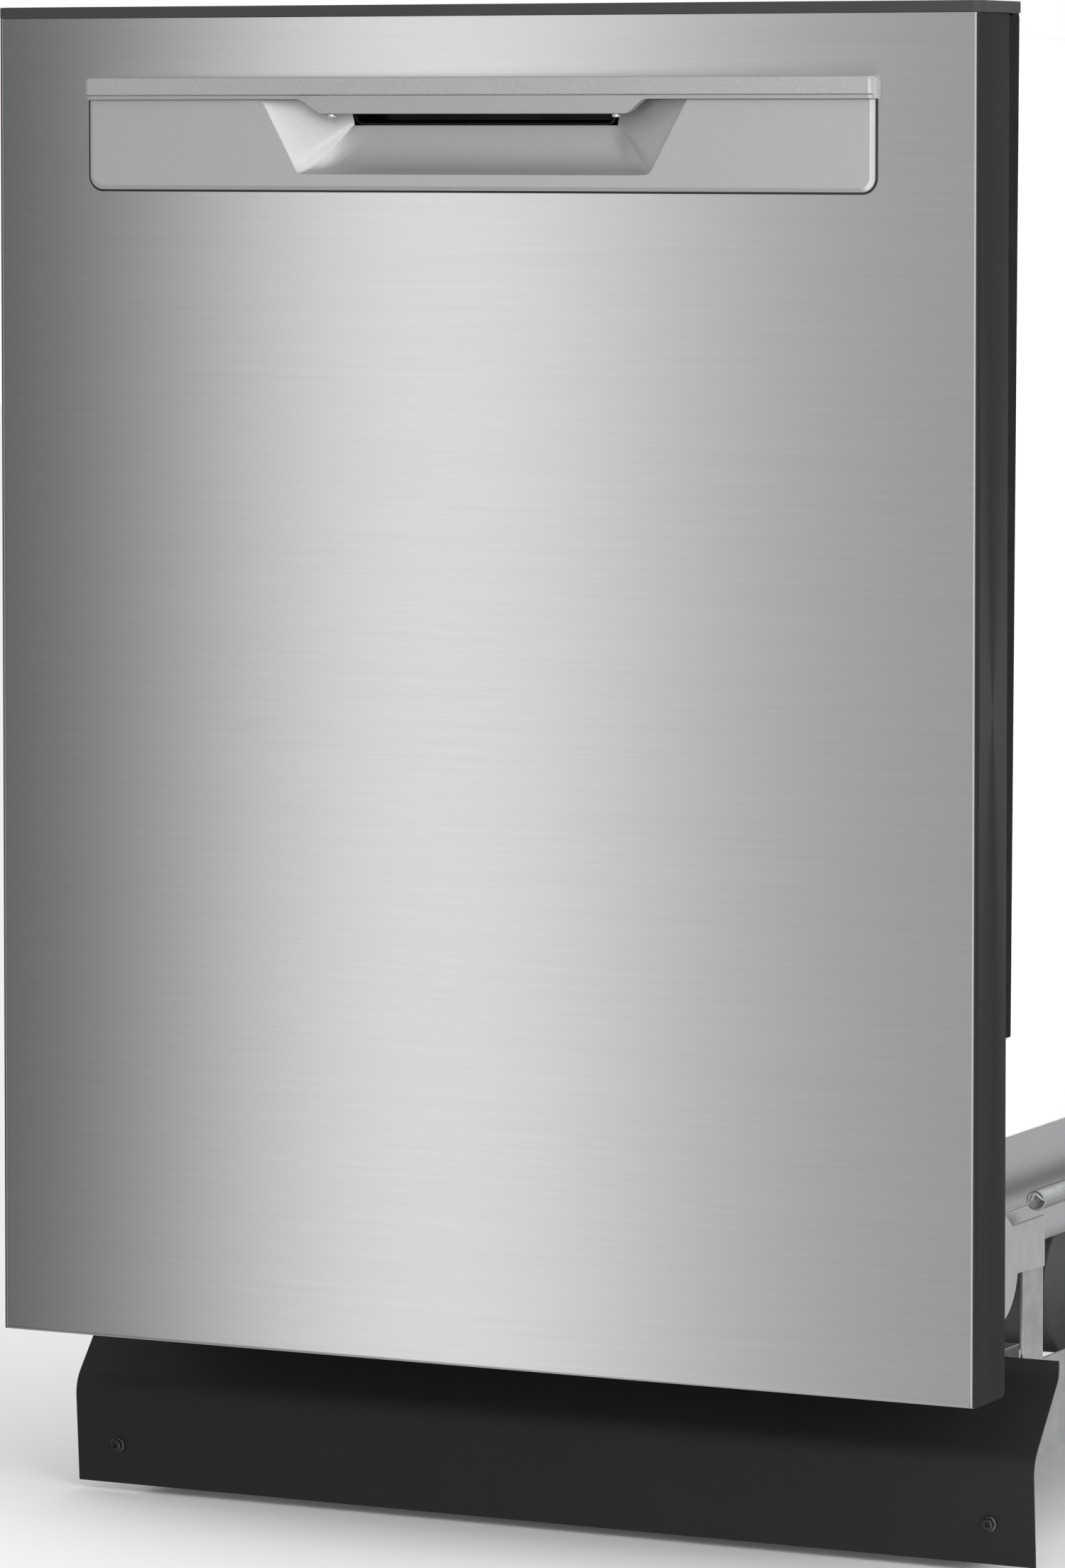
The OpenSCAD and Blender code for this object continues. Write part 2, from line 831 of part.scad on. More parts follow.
module kick_screws() {
    head = 3.2;
    face_y = door_y + kick_fold[0] + 2.2;
    color("#3a3a3a") mirrored_x() translate([kick_screw_x, face_y, kick_screw_z]) rotate([90, 0, 0]) {
        translate([0, 0, -14]) cylinder(r = 2, h = 15);
        cylinder(r = 4.4, h = 0.9);
        cylinder(r = 3.4, h = head, $fn = 6);
    }
}

module countertop_brackets() {
    plate = 1.4;
    color("#b9bcbe") mirrored_x() difference() {
        union() {
            block([185, tub_front + 1.6, blanket_top], [215, tub_front + 46, blanket_top + plate]);
            block([185, tub_front + 1.6, 846], [215, tub_front + 3, blanket_top + plate]);
        }
        translate([200, tub_front + 32, blanket_top - 1]) cylinder(r = 2.5, h = 5);
    }
}

module latch_strike() {
    color("#b9bcbe") {
        block([-14, tub_front, 839], [14, tub_front + 34, tub_top]);
        difference() {
            block([-14, tub_front - 14, 833.5], [14, tub_front + 4, 836]);
            block([-9, tub_front - 10, 830], [9, tub_front - 3, 840]);
        }
        block([-14, tub_front + 2, 833.5], [14, tub_front + 4, 840]);
    }
}

module sump() {
    wall = 2.5;
    floor_z = 122;
    under_tub = tub_floor - tub_wall;
    shoulder = 150;
    color("#4a4d50") translate([0, mid_y, 0]) difference() {
        union() {
            rotate_extrude() polygon([
                [0, floor_z], [sump_r - 30, floor_z],
                [sump_r - 4, shoulder], [sump_r - 4, under_tub - wall],
                [sump_r + 12, under_tub - wall], [sump_r + 12, under_tub], [sump_r - 6.5, under_tub],
                [sump_r - 6.5, shoulder + 1], [sump_r - 32, floor_z + wall], [0, floor_z + wall]
            ]);
            upright(0, 0, floor_z, 12, arm_z + 2 - floor_z);
        }
        upright(0, 0, floor_z + wall, 9.5, 100);
        translate([60, pump_y - mid_y, pump_z + 22]) rotate([0, 90, 0]) cylinder(r = inlet_r + 0.1, h = 50);
    }
}

module upright(x, y, z, r, h) {
    translate([x, y, z]) cylinder(r = r, h = h);
}

module filter_plate() {
    plate_r = 112;
    color("#5e6265") difference() {
        translate([0, mid_y, tub_floor + 0.2]) cylinder(r = plate_r, h = 2);
        upright(0, mid_y, tub_floor - 1, 12.6, 6);
        upright(filter_x, filter_y, tub_floor - 1, filter_r + 0.6, 6);
        for (ring = [56, 72, 88, 102], k = [0:ring / 4 - 1])
            let (a = 360 * k / floor(ring / 4), x = ring * cos(a), y = mid_y + ring * sin(a))
                if (norm([x - filter_x, y - filter_y]) > filter_r + 8) upright(x, y, tub_floor - 1, 3.2, 6);
    }
}

module filter_cylinder() {
    low = 132;
    high = tub_floor + 8;
    color("#8b9094") translate([filter_x, filter_y, 0]) difference() {
        union() {
            upright(0, 0, low, filter_r - 2, high - low);
            upright(0, 0, tub_floor + 2.6, filter_r, 5.4);
        }
        upright(0, 0, low + 2, filter_r - 4, high - low - 8);
        for (s = [-1, 1]) translate([s * 17, 0, high - 4]) cube([16, 34, 10], center = true);
    }
}

// A pump: a round motor beside a volute whose chamber holds the impeller.
module pump_body(motor_r, motor_l, volute_r, volute_l) {
    rotate([0, 90, 0]) difference() {
        union() {
            cylinder(r = volute_r, h = volute_l);
            translate([0, 0, volute_l - 1]) cylinder(r = motor_r, h = motor_l);
        }
        translate([0, 0, 3]) cylinder(r = volute_r - 4, h = volute_l - 8);
    }
}

module pump_impeller(r, l, vanes) {
    rotate([0, 90, 0]) {
        cylinder(r = r, h = 2);
        cylinder(r = r * 0.3, h = l);
        for (k = [0:vanes - 1]) rotate([0, 0, 360 * k / vanes]) translate([0, -1, 0]) cube([r - 0.5, 2, l]);
    }
}

module wash_pump() {
    color("#55595c") difference() {
        union() {
            translate([112, pump_y, pump_z]) pump_body(42, 78, 38, 34);
            translate([80, pump_y, pump_z + 22]) rotate([0, 90, 0]) cylinder(r = inlet_r, h = 34);
            translate([118, pump_y - 20, frame_low + 2]) cube([60, 40, 30]);
        }
        translate([79, pump_y, pump_z + 22]) rotate([0, 90, 0]) cylinder(r = inlet_r - 3, h = 38);
    }
}

module wash_impeller() {
    color("#d9d9d4") translate([118, pump_y, pump_z]) pump_impeller(29, 19, 6);
}

module drain_pump() {
    color("#44484b") {
        mirror([1, 0, 0]) translate([110, pump_y, pump_z - 16]) pump_body(26, 44, 26, 26);
        translate([-122, pump_y + 20, pump_z]) rotate([-90, 0, 0]) {
            cylinder(r = 9.5, h = 216);
            translate([0, 0, 212]) cylinder(r = 13, h = 4);
            translate([0, 0, 215]) cylinder(r = 10, h = 26);
        }
        translate([-150, pump_y - 12, frame_low + 2]) cube([30, 24, 30]);
    }
}

module drain_impeller() {
    color("#d9d9d4") mirror([1, 0, 0]) translate([115, pump_y, pump_z - 16]) pump_impeller(18, 13, 4);
}

// A tubular heater: an open ring over the tub floor with two ends that go down through it.
module heating_element() {
    tube_r = 4;
    leg_tube_r = 4.4;
    z = tub_floor + 17;
    color("#6d6a66") {
        translate([0, mid_y, z]) rotate([0, 0, 90 + heater_gap])
            rotate_extrude(angle = 360 - 2 * heater_gap)
            translate([heater_r, 0]) circle(tube_r);
        for (s = [-1, 1]) translate([s * heater_leg_x, mid_y + heater_leg_y, tub_floor - 24])
            cylinder(r = leg_tube_r, h = z + leg_tube_r - tub_floor + 24);
    }
}

module float() {
    color("#e4e2dc") translate([float_at[0], float_at[1], 0]) {
        translate([0, 0, tub_floor + 1]) cylinder(r = 20, h = 26);
        translate([0, 0, tub_floor + 26.5]) cylinder(r = 15, h = 5);
        translate([0, 0, tub_floor - 30]) cylinder(r = 5, h = 34);
    }
}

module inlet_valve() {
    plate_y = frame_front + 2 - valve_at[1];
    color("#e6e6e0") translate([valve_at[0], valve_at[1], 0]) {
        block([-22, -18, 74], [22, 18, 100]);
        translate([-10, 0, 99]) cylinder(r = 12, h = 26);
        translate([12, 0, 99]) cylinder(r = 6, h = 20);
        translate([0, 0, 58]) cylinder(r = 13.2, h = 17);
        block([-18, plate_y, 92], [18, -17, 95]);
        block([-18, plate_y, 72], [18, plate_y + 3, 95]);
    }
}

// The fill hose climbs from the inlet valve to a port in the tub's floor.
module fill_hose() {
    route = smooth([
        [-193, -120, 119.4], [-193, -116, 134], [-195, -84, 146], [-198, 0, 148], [-203, 80, 148],
        [-208, 112, 151], [-208, 121, 158], [-208, 122, 164], [-208, 122, tub_floor - tub_wall - 0.8]
    ], 5);
    color("#d5d5cf") tube_along(route, 7, 10);
}

module junction_box() {
    low = [175, frame_front + 2, frame_low + 2];
    high = [245, -96, 108];
    skin = 1.2;
    color("#b4b7b9") difference() {
        block(low, high);
        block(low + [skin, skin, skin], high - [skin, skin, skin]);
        translate([210, -115, 50]) cylinder(r = 11, h = 12);
    }
}

// The pipe up the back of the tub, its branch for the middle arm and the ceiling sprayer.
module spray_supply() {
    pipe = [[-18, tub_back - 13, tub_floor + 0.2], [18, tub_back - 0.2, 831]];
    color("#5a5e61") {
        block(pipe[0], pipe[1]);
        block([-14, mid_y - 14, 819], [14, tub_back - 2, 831]);
        translate([0, mid_y, 800]) cylinder(r = 14, h = 22);
        translate([0, mid_y, 792]) cylinder(r = 34, h = 9);
        translate([0, tub_back - 12, 555]) rotate([90, 0, 0]) cylinder(r = 10, h = 12);
        translate([0, tub_back - 7, 150]) cylinder(r = 5.8, h = tub_floor - 149);
        translate([0, tub_back - 7, 150]) rotate([90, 0, 0]) cylinder(r = 5, h = 156);
    }
}

// Four pairs of rollers on each tub wall, above and below the upper rack's side rails.
module rail_rollers() {
    color("#dcdcd8") mirrored_x() for (y = [-208, -160], z = [rail_z - 9.3, rail_z + 23.3])
        translate([254, y, z]) rotate([0, 90, 0]) {
            cylinder(r = 9, h = 8);
            translate([0, 0, 7]) cylinder(r = 4, h = tub_half - 261);
        }
}

// A spray arm: a hub with two tapering blades, drilled along its top.
module spray_arm(length, root_w, tip_w, h, hub_h) {
    difference() {
        union() {
            linear_extrude(h) {
                polygon([
                    [-length, -tip_w], [0, -root_w], [length, -tip_w],
                    [length, tip_w], [0, root_w], [-length, tip_w]
                ]);
                for (s = [-1, 1]) translate([s * length, 0]) circle(tip_w);
                circle(root_w + 4);
            }
            translate([0, 0, -4]) cylinder(r = 17, h = hub_h);
        }
        for (s = [-1, 1], k = [1:4]) translate([s * length * (0.16 + 0.2 * k), s * 3, h - 3])
            cylinder(r = 1.8, h = 6);
    }
}

module lower_spray_arm() {
    color("#9ea3a6") translate([0, mid_y, arm_z]) difference() {
        rotate([0, 0, 28]) spray_arm(218, 24, 13, 11, 19);
        upright(0, 0, -6, 12.1, 10);
    }
}

module middle_spray_arm() {
    color("#9ea3a6") translate([0, mid_y, middle_arm_z]) rotate([0, 0, -35]) difference() {
        spray_arm(200, 21, 12, 9, 13.5);
        upright(0, 0, 5, 8.1, 12);
    }
}

// A basket of square bars: rings round the sides, uprights, a floor grid and rows of plate pins.
module wire_basket(x, y0, y1, z0, z1, wire, pitch, pin_h) {
    cols = floor(2 * x / pitch);
    rows = floor((y1 - y0) / pitch);
    step_x = 2 * x / cols;
    step_y = (y1 - y0) / rows;
    half = wire / 2;
    for (z = [z0, (z0 + z1) / 2, z1]) {
        for (s = [-1, 1]) block([s * x - wire, y0 - wire, z - wire], [s * x + wire, y1 + wire, z + wire]);
        for (y = [y0, y1]) block([-x - wire, y - wire, z - wire], [x + wire, y + wire, z + wire]);
    }
    for (i = [1:cols - 1], y = [y0, y1])
        block([-x + i * step_x - half, y - half, z0], [-x + i * step_x + half, y + half, z1]);
    for (j = [1:rows - 1], s = [-1, 1])
        block([s * x - half, y0 + j * step_y - half, z0], [s * x + half, y0 + j * step_y + half, z1]);
    for (i = [1:cols - 1])
        block([-x + i * step_x - half, y0, z0 - half], [-x + i * step_x + half, y1, z0 + half]);
    for (j = [1:rows - 1])
        block([-x, y0 + j * step_y - half, z0 - wire * 0.8], [x, y0 + j * step_y + half, z0 + wire * 0.3]);
    if (pin_h > 0) for (i = [1:2:cols - 1], j = [2:rows - 1])
        translate([-x + i * step_x - half * 0.8, y0 + j * step_y - half * 0.8, z0 - wire * 0.5])
            cube([wire * 0.8, wire * 0.8, pin_h]);
}

module upper_rack() {
    color("#c8ccd0") {
        wire_basket(242, rack_front, rack_back, upper_rack_z[0], upper_rack_z[1], 2.5, 60, 0);
        mirrored_x() {
            block([246, rack_front, rail_z], [258, rack_back, rail_z + 14]);
            block([240, rack_front + 20, rail_z + 2], [247, rack_front + 36, rail_z + 12]);
            block([240, 190, rail_z + 2], [247, 206, rail_z + 12]);
        }
        translate([0, mid_y, middle_arm_z + 5.5]) cylinder(r = 8, h = 24.5);
        translate([0, mid_y, 555]) rotate([-90, 0, 0]) cylinder(r = 7, h = tub_back - 26 - mid_y);
    }
}

module lower_rack() {
    color("#c8ccd0") {
        wire_basket(238, rack_front + 2, rack_back, lower_rack_z[0], lower_rack_z[1], 2.6, 60, 62);
        mirrored_x() for (y = wheel_ys) {
            block([236, y - 9, wheel_z - 6], [240, y + 9, wheel_z + 66]);
            translate([239, y, wheel_z]) rotate([0, 90, 0]) cylinder(r = 4, h = 20);
        }
    }
}

// An open basket with two dividers and a handle across its middle.
module silverware_basket() {
    x = 75;
    y = [-213, -147];
    z = [lower_rack_z[0] + 3, lower_rack_z[0] + 130];
    wall = 2.4;
    color("#6a6e70") {
        difference() {
            block([-x, y[0], z[0]], [x, y[1], z[1]]);
            for (k = [-1:1]) block(
                [k * 49.5 - 22.5, y[0] + wall, z[0] + wall],
                [k * 49.5 + 22.5, y[1] - wall, z[1] + 1]
            );
        }
        difference() {
            block([-x, (y[0] + y[1]) / 2 - 3, z[1] - 1], [x, (y[0] + y[1]) / 2 + 3, z[1] + 24]);
            block([-x + 6, y[0], z[1] - 2], [x - 6, y[1], z[1] + 17]);
        }
    }
}

module rack_wheel(side, y) {
    color("#e2e2de") translate([side * 254 - 4, y, wheel_z]) rotate([0, 90, 0]) difference() {
        cylinder(r = wheel_r_rack, h = 8);
        translate([0, 0, -1]) cylinder(r = 4.08, h = 10);
        for (k = [0:4]) rotate([0, 0, 72 * k]) translate([9, 0, -1]) cylinder(r = 2.4, h = 10);
    }
}

module rack_wheel_front_left() {
    rack_wheel(-1, wheel_ys[0]);
}

module rack_wheel_front_right() {
    rack_wheel(1, wheel_ys[0]);
}

module rack_wheel_rear_left() {
    rack_wheel(-1, wheel_ys[1]);
}

module rack_wheel_rear_right() {
    rack_wheel(1, wheel_ys[1]);
}

door_panel();
control_console();
display_window();
control_board();
handle_fascia();
grip_bar();
handle_screws();
finger_slot();
door_liner();
door_insulation();
door_foot_seal();
dispenser_body();
dispenser_lid();
rinse_aid_cap();
door_vent();
latch_housing();
hinge_arm_left();
hinge_arm_right();
power_button();
cycle_button();
options_button();
start_button();
tub();
tub_gasket();
insulation_blanket();
base_frame();
hinge_bracket_left();
hinge_bracket_right();
door_springs();
toe_kick();
kick_screws();
countertop_brackets();
latch_strike();
sump();
filter_plate();
filter_cylinder();
wash_pump();
wash_impeller();
drain_pump();
drain_impeller();
heating_element();
float();
inlet_valve();
fill_hose();
junction_box();
spray_supply();
rail_rollers();
lower_spray_arm();
middle_spray_arm();
upper_rack();
lower_rack();
silverware_basket();
rack_wheel_front_left();
rack_wheel_front_right();
rack_wheel_rear_left();
rack_wheel_rear_right();
leg_front_left();
leg_front_right();
leg_rear_left();
leg_rear_right();
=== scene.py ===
import json
import math

import bmesh
import bpy
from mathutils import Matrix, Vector, noise

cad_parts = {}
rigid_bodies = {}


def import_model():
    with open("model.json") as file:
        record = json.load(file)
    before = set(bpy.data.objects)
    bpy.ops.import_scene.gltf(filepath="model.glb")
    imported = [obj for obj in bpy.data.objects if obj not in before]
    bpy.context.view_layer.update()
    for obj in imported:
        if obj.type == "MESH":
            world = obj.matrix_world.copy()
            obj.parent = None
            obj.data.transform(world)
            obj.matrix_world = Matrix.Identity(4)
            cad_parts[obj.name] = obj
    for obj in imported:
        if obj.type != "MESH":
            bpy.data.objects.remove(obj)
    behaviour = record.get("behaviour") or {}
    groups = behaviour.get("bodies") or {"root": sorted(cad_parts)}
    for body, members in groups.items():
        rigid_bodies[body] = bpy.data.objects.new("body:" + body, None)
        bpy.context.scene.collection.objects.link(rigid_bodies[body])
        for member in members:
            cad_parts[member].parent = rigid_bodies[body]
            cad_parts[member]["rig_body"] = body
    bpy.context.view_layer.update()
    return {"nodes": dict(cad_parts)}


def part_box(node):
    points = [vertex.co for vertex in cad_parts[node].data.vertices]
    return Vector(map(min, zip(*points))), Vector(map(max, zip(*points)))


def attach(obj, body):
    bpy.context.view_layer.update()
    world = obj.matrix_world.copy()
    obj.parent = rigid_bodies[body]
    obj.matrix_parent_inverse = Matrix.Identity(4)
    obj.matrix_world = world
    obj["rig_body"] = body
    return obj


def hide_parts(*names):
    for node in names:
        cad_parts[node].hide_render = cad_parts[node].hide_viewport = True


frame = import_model()

# ---------------------------------------------------------------- frame

MM = 0.001
NODES = frame["nodes"]
panel_low, panel_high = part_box("door_panel")
STEEL_Y = panel_low.y
FOOT_Z = panel_low.z
PANEL_HALF = panel_high.x / MM
PANEL_DEPTH = (panel_high.y - panel_low.y) / MM
PANEL_RISE = (panel_high.z - panel_low.z) / MM


def at_door(x, depth, rise):
    """A point from millimetres: x, depth behind the steel face and rise above the door's foot."""
    return Vector((x * MM, STEEL_Y + depth * MM, FOOT_Z + rise * MM))


def span(a, b, count):
    """count + 1 even steps from a to b."""
    return [a + (b - a) * k / count for k in range(count + 1)]


def ease(t):
    """A smooth step from 0 to 1."""
    t = max(0.0, min(1.0, t))
    return t * t * (3 - 2 * t)


def rounded(points, radius, steps=5):
    """An open path with its inner corners rounded."""
    points = [Vector(p) for p in points]
    path = [points[0]]
    for before, corner, after in zip(points, points[1:], points[2:]):
        back, ahead = before - corner, after - corner
        cut = min(radius, 0.48 * back.length, 0.48 * ahead.length)
        start, end = corner + back.normalized() * cut, corner + ahead.normalized() * cut
        for t in span(0, 1, steps):
            path.append(start * (1 - t) ** 2 + corner * 2 * t * (1 - t) + end * t * t)
    return path + [points[-1]]


# ---------------------------------------------------------------- making pieces


def join_to_frame(obj, node, finish, replaced=(), smooth=True):
    """obj rides with a CAD node's body, takes the given finish and hides the nodes that it replaces."""
    bpy.context.scene.collection.objects.link(obj)
    obj.data.materials.append(finish)
    if obj.type == "MESH":
        obj.data.polygons.foreach_set("use_smooth", [smooth] * len(obj.data.polygons))
    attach(obj, NODES[node]["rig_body"])
    if replaced:
        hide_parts(*replaced)
    return obj


def mesh_piece(name, shape, node, finish, replaced=(), smooth=True):
    """A piece from (vertices, faces)."""
    mesh = bpy.data.meshes.new(name)
    mesh.from_pydata([tuple(v) for v in shape[0]], [], shape[1])
    built = bmesh.new()
    built.from_mesh(mesh)
    bmesh.ops.remove_doubles(built, verts=built.verts, dist=1e-6)
    bmesh.ops.recalc_face_normals(built, faces=built.faces)
    built.to_mesh(mesh)
    built.free()
    return join_to_frame(bpy.data.objects.new(name, mesh), node, finish, replaced, smooth)


def wire_piece(name, paths, radius, node, finish, replaced=(), cyclic=False):
    """Round wire along one or more paths, as one piece."""
    curve = bpy.data.curves.new(name, "CURVE")
    curve.dimensions = "3D"
    curve.bevel_depth = radius * MM
    curve.bevel_resolution = 3
    curve.use_fill_caps = True
    for path in paths:
        spline = curve.splines.new("POLY")
        spline.points.add(len(path) - 1)
        for point, place in zip(spline.points, path):
            point.co = (*place, 1)
        spline.use_cyclic_u = cyclic
    source = bpy.data.objects.new(name + "_path", curve)
    mesh = bpy.data.meshes.new_from_object(source)
    bpy.data.objects.remove(source)
    return join_to_frame(bpy.data.objects.new(name, mesh), node, finish, replaced)


def grid_faces(rows, columns, keep=lambda r, c: True):
    """Quads over a grid of vertices stored row by row."""
    return [
        (r * columns + c, r * columns + c + 1, (r + 1) * columns + c + 1, (r + 1) * columns + c)
        for r in range(rows - 1)
        for c in range(columns - 1)
        if keep(r, c)
    ]


def lofted(rings, capped=True):
    """A skin over closed rings that all have the same number of points."""
    count = len(rings[0])
    verts = [p for ring in rings for p in ring]
    faces = [
        (r * count + c, r * count + (c + 1) % count, (r + 1) * count + (c + 1) % count, (r + 1) * count + c)
        for r in range(len(rings) - 1)
        for c in range(count)
    ]
    if capped:
        faces.append(tuple(range(count))[::-1])
        faces.append(tuple((len(rings) - 1) * count + c for c in range(count)))
    return verts, faces


def revolved(profile, centre, axis, segments=40):
    """A solid of revolution from (radius, height) pairs in millimetres, along axis from centre."""
    axis = Vector(axis).normalized()
    side = axis.orthogonal().normalized()
    other = axis.cross(side)
    rings = []
    for radius, height in profile:
        turn = [2 * math.pi * k / segments for k in range(segments)]
        rings.append([
            Vector(centre) + axis * height * MM
            + (side * math.cos(a) + other * math.sin(a)) * max(radius, 0.01) * MM
            for a in turn
        ])
    return lofted(rings)


def merged(*shapes):
    """Several (vertices, faces) as one."""
    verts, faces = [], []
    for more_verts, more_faces in shapes:
        faces += [tuple(i + len(verts) for i in face) for face in more_faces]
        verts += more_verts
    return verts, faces


def flat_shading_fix(obj):
    """Large flats shade flat and the small rounds between them shade smooth."""
    weighted = obj.modifiers.new("even_shading", "WEIGHTED_NORMAL")
    weighted.weight = 80
    weighted.keep_sharp = False


def soften(obj, width, segments=2, angle=32):
    """Rounds the piece's sharp edges by width millimetres."""
    rounding = obj.modifiers.new("rounding", "BEVEL")
    rounding.width = width * MM
    rounding.segments = segments
    rounding.limit_method = "ANGLE"
    rounding.angle_limit = math.radians(angle)
    rounding.use_clamp_overlap = False
    flat_shading_fix(obj)
    return obj


def thicken(obj, thickness, side=-1):
    """Gives a sheet its thickness, in millimetres."""
    solid = obj.modifiers.new("thickness", "SOLIDIFY")
    solid.thickness = thickness * MM
    solid.offset = side
    solid.use_even_offset = True
    return obj


def keep_node(node, finish, width=0.0, segments=2):
    """A carried-over CAD node: its material, and softly rounded edges."""
    obj = NODES[node]
    obj.data.materials.clear()
    obj.data.materials.append(finish)
    obj.data.polygons.foreach_set("use_smooth", [True] * len(obj.data.polygons))
    if "custom_normal" in obj.data.attributes:
        obj.data.attributes.remove(obj.data.attributes["custom_normal"])
    weld = obj.modifiers.new("weld", "WELD")
    weld.merge_threshold = 0.004 * MM
    flats = obj.modifiers.new("flats", "DECIMATE")
    flats.decimate_type = "DISSOLVE"
    flats.angle_limit = math.radians(0.6)
    if width:
        soften(obj, width, segments)
    else:
        flat_shading_fix(obj)


# ---------------------------------------------------------------- materials


class Finish:
    """A material under construction: one Principled shader fed by noise in the frame's coordinates."""

    def __init__(self, name, colour, roughness, metallic=0.0, **sockets):
        self.material = bpy.data.materials.new(name)
        self.material.use_nodes = True
        self.tree = self.material.node_tree
        self.shader = self.tree.nodes["Principled BSDF"]
        self.colour = (*colour, 1.0)
        self.material.diffuse_color = self.colour
        self.set(self.shader, {"Base Color": self.colour, "Roughness": roughness, "Metallic": metallic})
        self.set(self.shader, {name.replace("_", " "): value for name, value in sockets.items()})
        self.roughness = roughness
        self.normal = None

    @staticmethod
    def set(node, values):
        for name, value in values.items():
            node.inputs[name].default_value = value

    def node(self, kind, links=(), **values):
        made = self.tree.nodes.new(kind)
        for name, value in values.items():
            setattr(made, name, value)
        for socket, source in links:
            self.tree.links.new(source, made.inputs[socket])
        return made

    def link(self, source, socket):
        self.tree.links.new(source, self.shader.inputs[socket])

    def noise(self, scale, stretch=(1, 1, 1), detail=3.0):
        """Noise of about scale features a metre, in the frame's own coordinates."""
        place = self.node("ShaderNodeTexCoord")
        mapping = self.node("ShaderNodeMapping", [("Vector", place.outputs["Object"])])
        mapping.inputs["Scale"].default_value = stretch
        texture = self.node("ShaderNodeTexNoise", [("Vector", mapping.outputs["Vector"])])
        self.set(texture, {"Scale": scale, "Detail": detail})
        return texture.outputs["Fac"]

    def remap(self, source, low, high, start=0.3, end=0.7):
        made = self.node("ShaderNodeMapRange", [("Value", source)])
        self.set(made, {"From Min": start, "From Max": end, "To Min": low, "To Max": high})
        return made.outputs["Result"]

    def mixed(self, factor, first, second):
        made = self.node("ShaderNodeMix", data_type="RGBA")
        self.tree.links.new(factor, made.inputs["Factor"])
        for socket, value in (("A", first), ("B", second)):
            target = next(s for s in made.inputs if s.name == socket and s.type == "RGBA")
            if isinstance(value, bpy.types.NodeSocket):
                self.tree.links.new(value, target)
            else:
                target.default_value = value
        return next(s for s in made.outputs if s.type == "RGBA")

    def shade(self, factor):
        return tuple(min(1.0, c * factor) for c in self.colour[:3]) + (1.0,)

    def mottle(self, scale, share, stretch=(1, 1, 1), detail=4.0):
        """Lighter and darker patches."""
        patches = self.remap(self.noise(scale, stretch, detail), 0, 1)
        self.link(self.mixed(patches, self.shade(1 - share), self.shade(1 + share)), "Base Color")
        return self

    def wear(self, scale, spread, stretch=(1, 1, 1)):
        """Uneven gloss."""
        patches = self.noise(scale, stretch, 5.0)
        self.link(self.remap(patches, self.roughness - spread, self.roughness + spread), "Roughness")
        return self

    def grain(self, scale, depth, stretch=(1, 1, 1), detail=2.0):
        """Bump, depth in millimetres."""
        bump = self.node("ShaderNodeBump", [("Height", self.noise(scale, stretch, detail))])
        self.set(bump, {"Distance": depth * MM, "Strength": 1.0})
        if self.normal:
            self.tree.links.new(self.normal, bump.inputs["Normal"])
        self.normal = bump.outputs["Normal"]
        self.link(self.normal, "Normal")
        return self


def brushed(name, colour, roughness, anisotropy=0.9):
    """Steel brushed along X."""
    steel = Finish(name, colour, roughness, 1.0, Anisotropic=anisotropy)
    tangent = steel.node("ShaderNodeTangent", direction_type="RADIAL", axis="X")
    steel.link(tangent.outputs["Tangent"], "Tangent")
    fine = steel.noise(1.0, (34, 1500, 2400), 3.0)
    coarse = steel.noise(1.0, (9, 420, 620), 2.0)
    both = steel.node("ShaderNodeMath", [(0, fine), (1, coarse)], operation="ADD")
    streaks = steel.remap(both.outputs["Value"], 0, 1, 0.75, 1.25)
    steel.streaks = steel.mixed(streaks, steel.shade(0.972), steel.shade(1.028))
    steel.link(steel.streaks, "Base Color")
    steel.link(steel.remap(fine, roughness - 0.012, roughness + 0.012), "Roughness")
    return steel


def door_steel():
    """Brushed on the front; painted shade on the folded side returns, where the same steel turns near black
    and matt by the way it faces, blending round the bend.
    """
    steel = brushed("door_steel", (0.66, 0.66, 0.66), 0.25, 1.0)
    steel.set(steel.shader, {"Specular IOR Level": 0.15})
    # Painted shade: colour, metalness and gloss follow the facing, so sideways-facing steel is coloured like
    # its dark reflections.
    facing = steel.node("ShaderNodeNewGeometry")
    axes = steel.node("ShaderNodeSeparateXYZ", [("Vector", facing.outputs["Normal"])])
    sideways = steel.node("ShaderNodeMath", [(0, axes.outputs["X"])], operation="ABSOLUTE")
    painted_side_shade = steel.remap(sideways.outputs["Value"], 0, 1, 0.03, 0.42)
    steel.link(steel.mixed(painted_side_shade, steel.streaks, (0.02, 0.02, 0.0203, 1)), "Base Color")
    steel.link(steel.remap(painted_side_shade, 1, 0, 0, 1), "Metallic")
    steel.link(steel.remap(painted_side_shade, 0.3, 0.5, 0, 1), "Roughness")
    return steel.material


def sheet_metal(name, colour, roughness=0.38, spangle=0.06):
    metal = Finish(name, colour, roughness, 0.9)
    metal.mottle(90, spangle).wear(35, 0.08).grain(1400, 0.004)
    return metal.material


def moulded(name, colour, roughness=0.45, texture=0.012, scale=1800, **sockets):
    plastic = Finish(name, colour, roughness, 0.0, **sockets)
    plastic.mottle(24, 0.05).wear(60, 0.05).grain(scale, texture)
    return plastic.material


def silver_paint(name, colour, roughness, sparkle):
    """Metal-flake paint over moulded plastic."""
    paint = Finish(name, colour, roughness, 0.5, Coat_Weight=0.2, Coat_Roughness=0.2)
    paint.mottle(1500, sparkle, detail=2.0).grain(1300, 0.012)
    return paint.material


def fibre(name, colour, tone=0.16):
    """Bonded fibre: tangled strands with a soft nap."""
    felt = Finish(name, colour, 0.95, 0.0, Sheen_Weight=0.3, Specular_IOR_Level=0.15)
    felt.mottle(420, tone, (1, 1.7, 0.6), 6.0).grain(700, 0.5, (1, 0.5, 1.6), 5.0).grain(60, 1.2)
    return felt.material


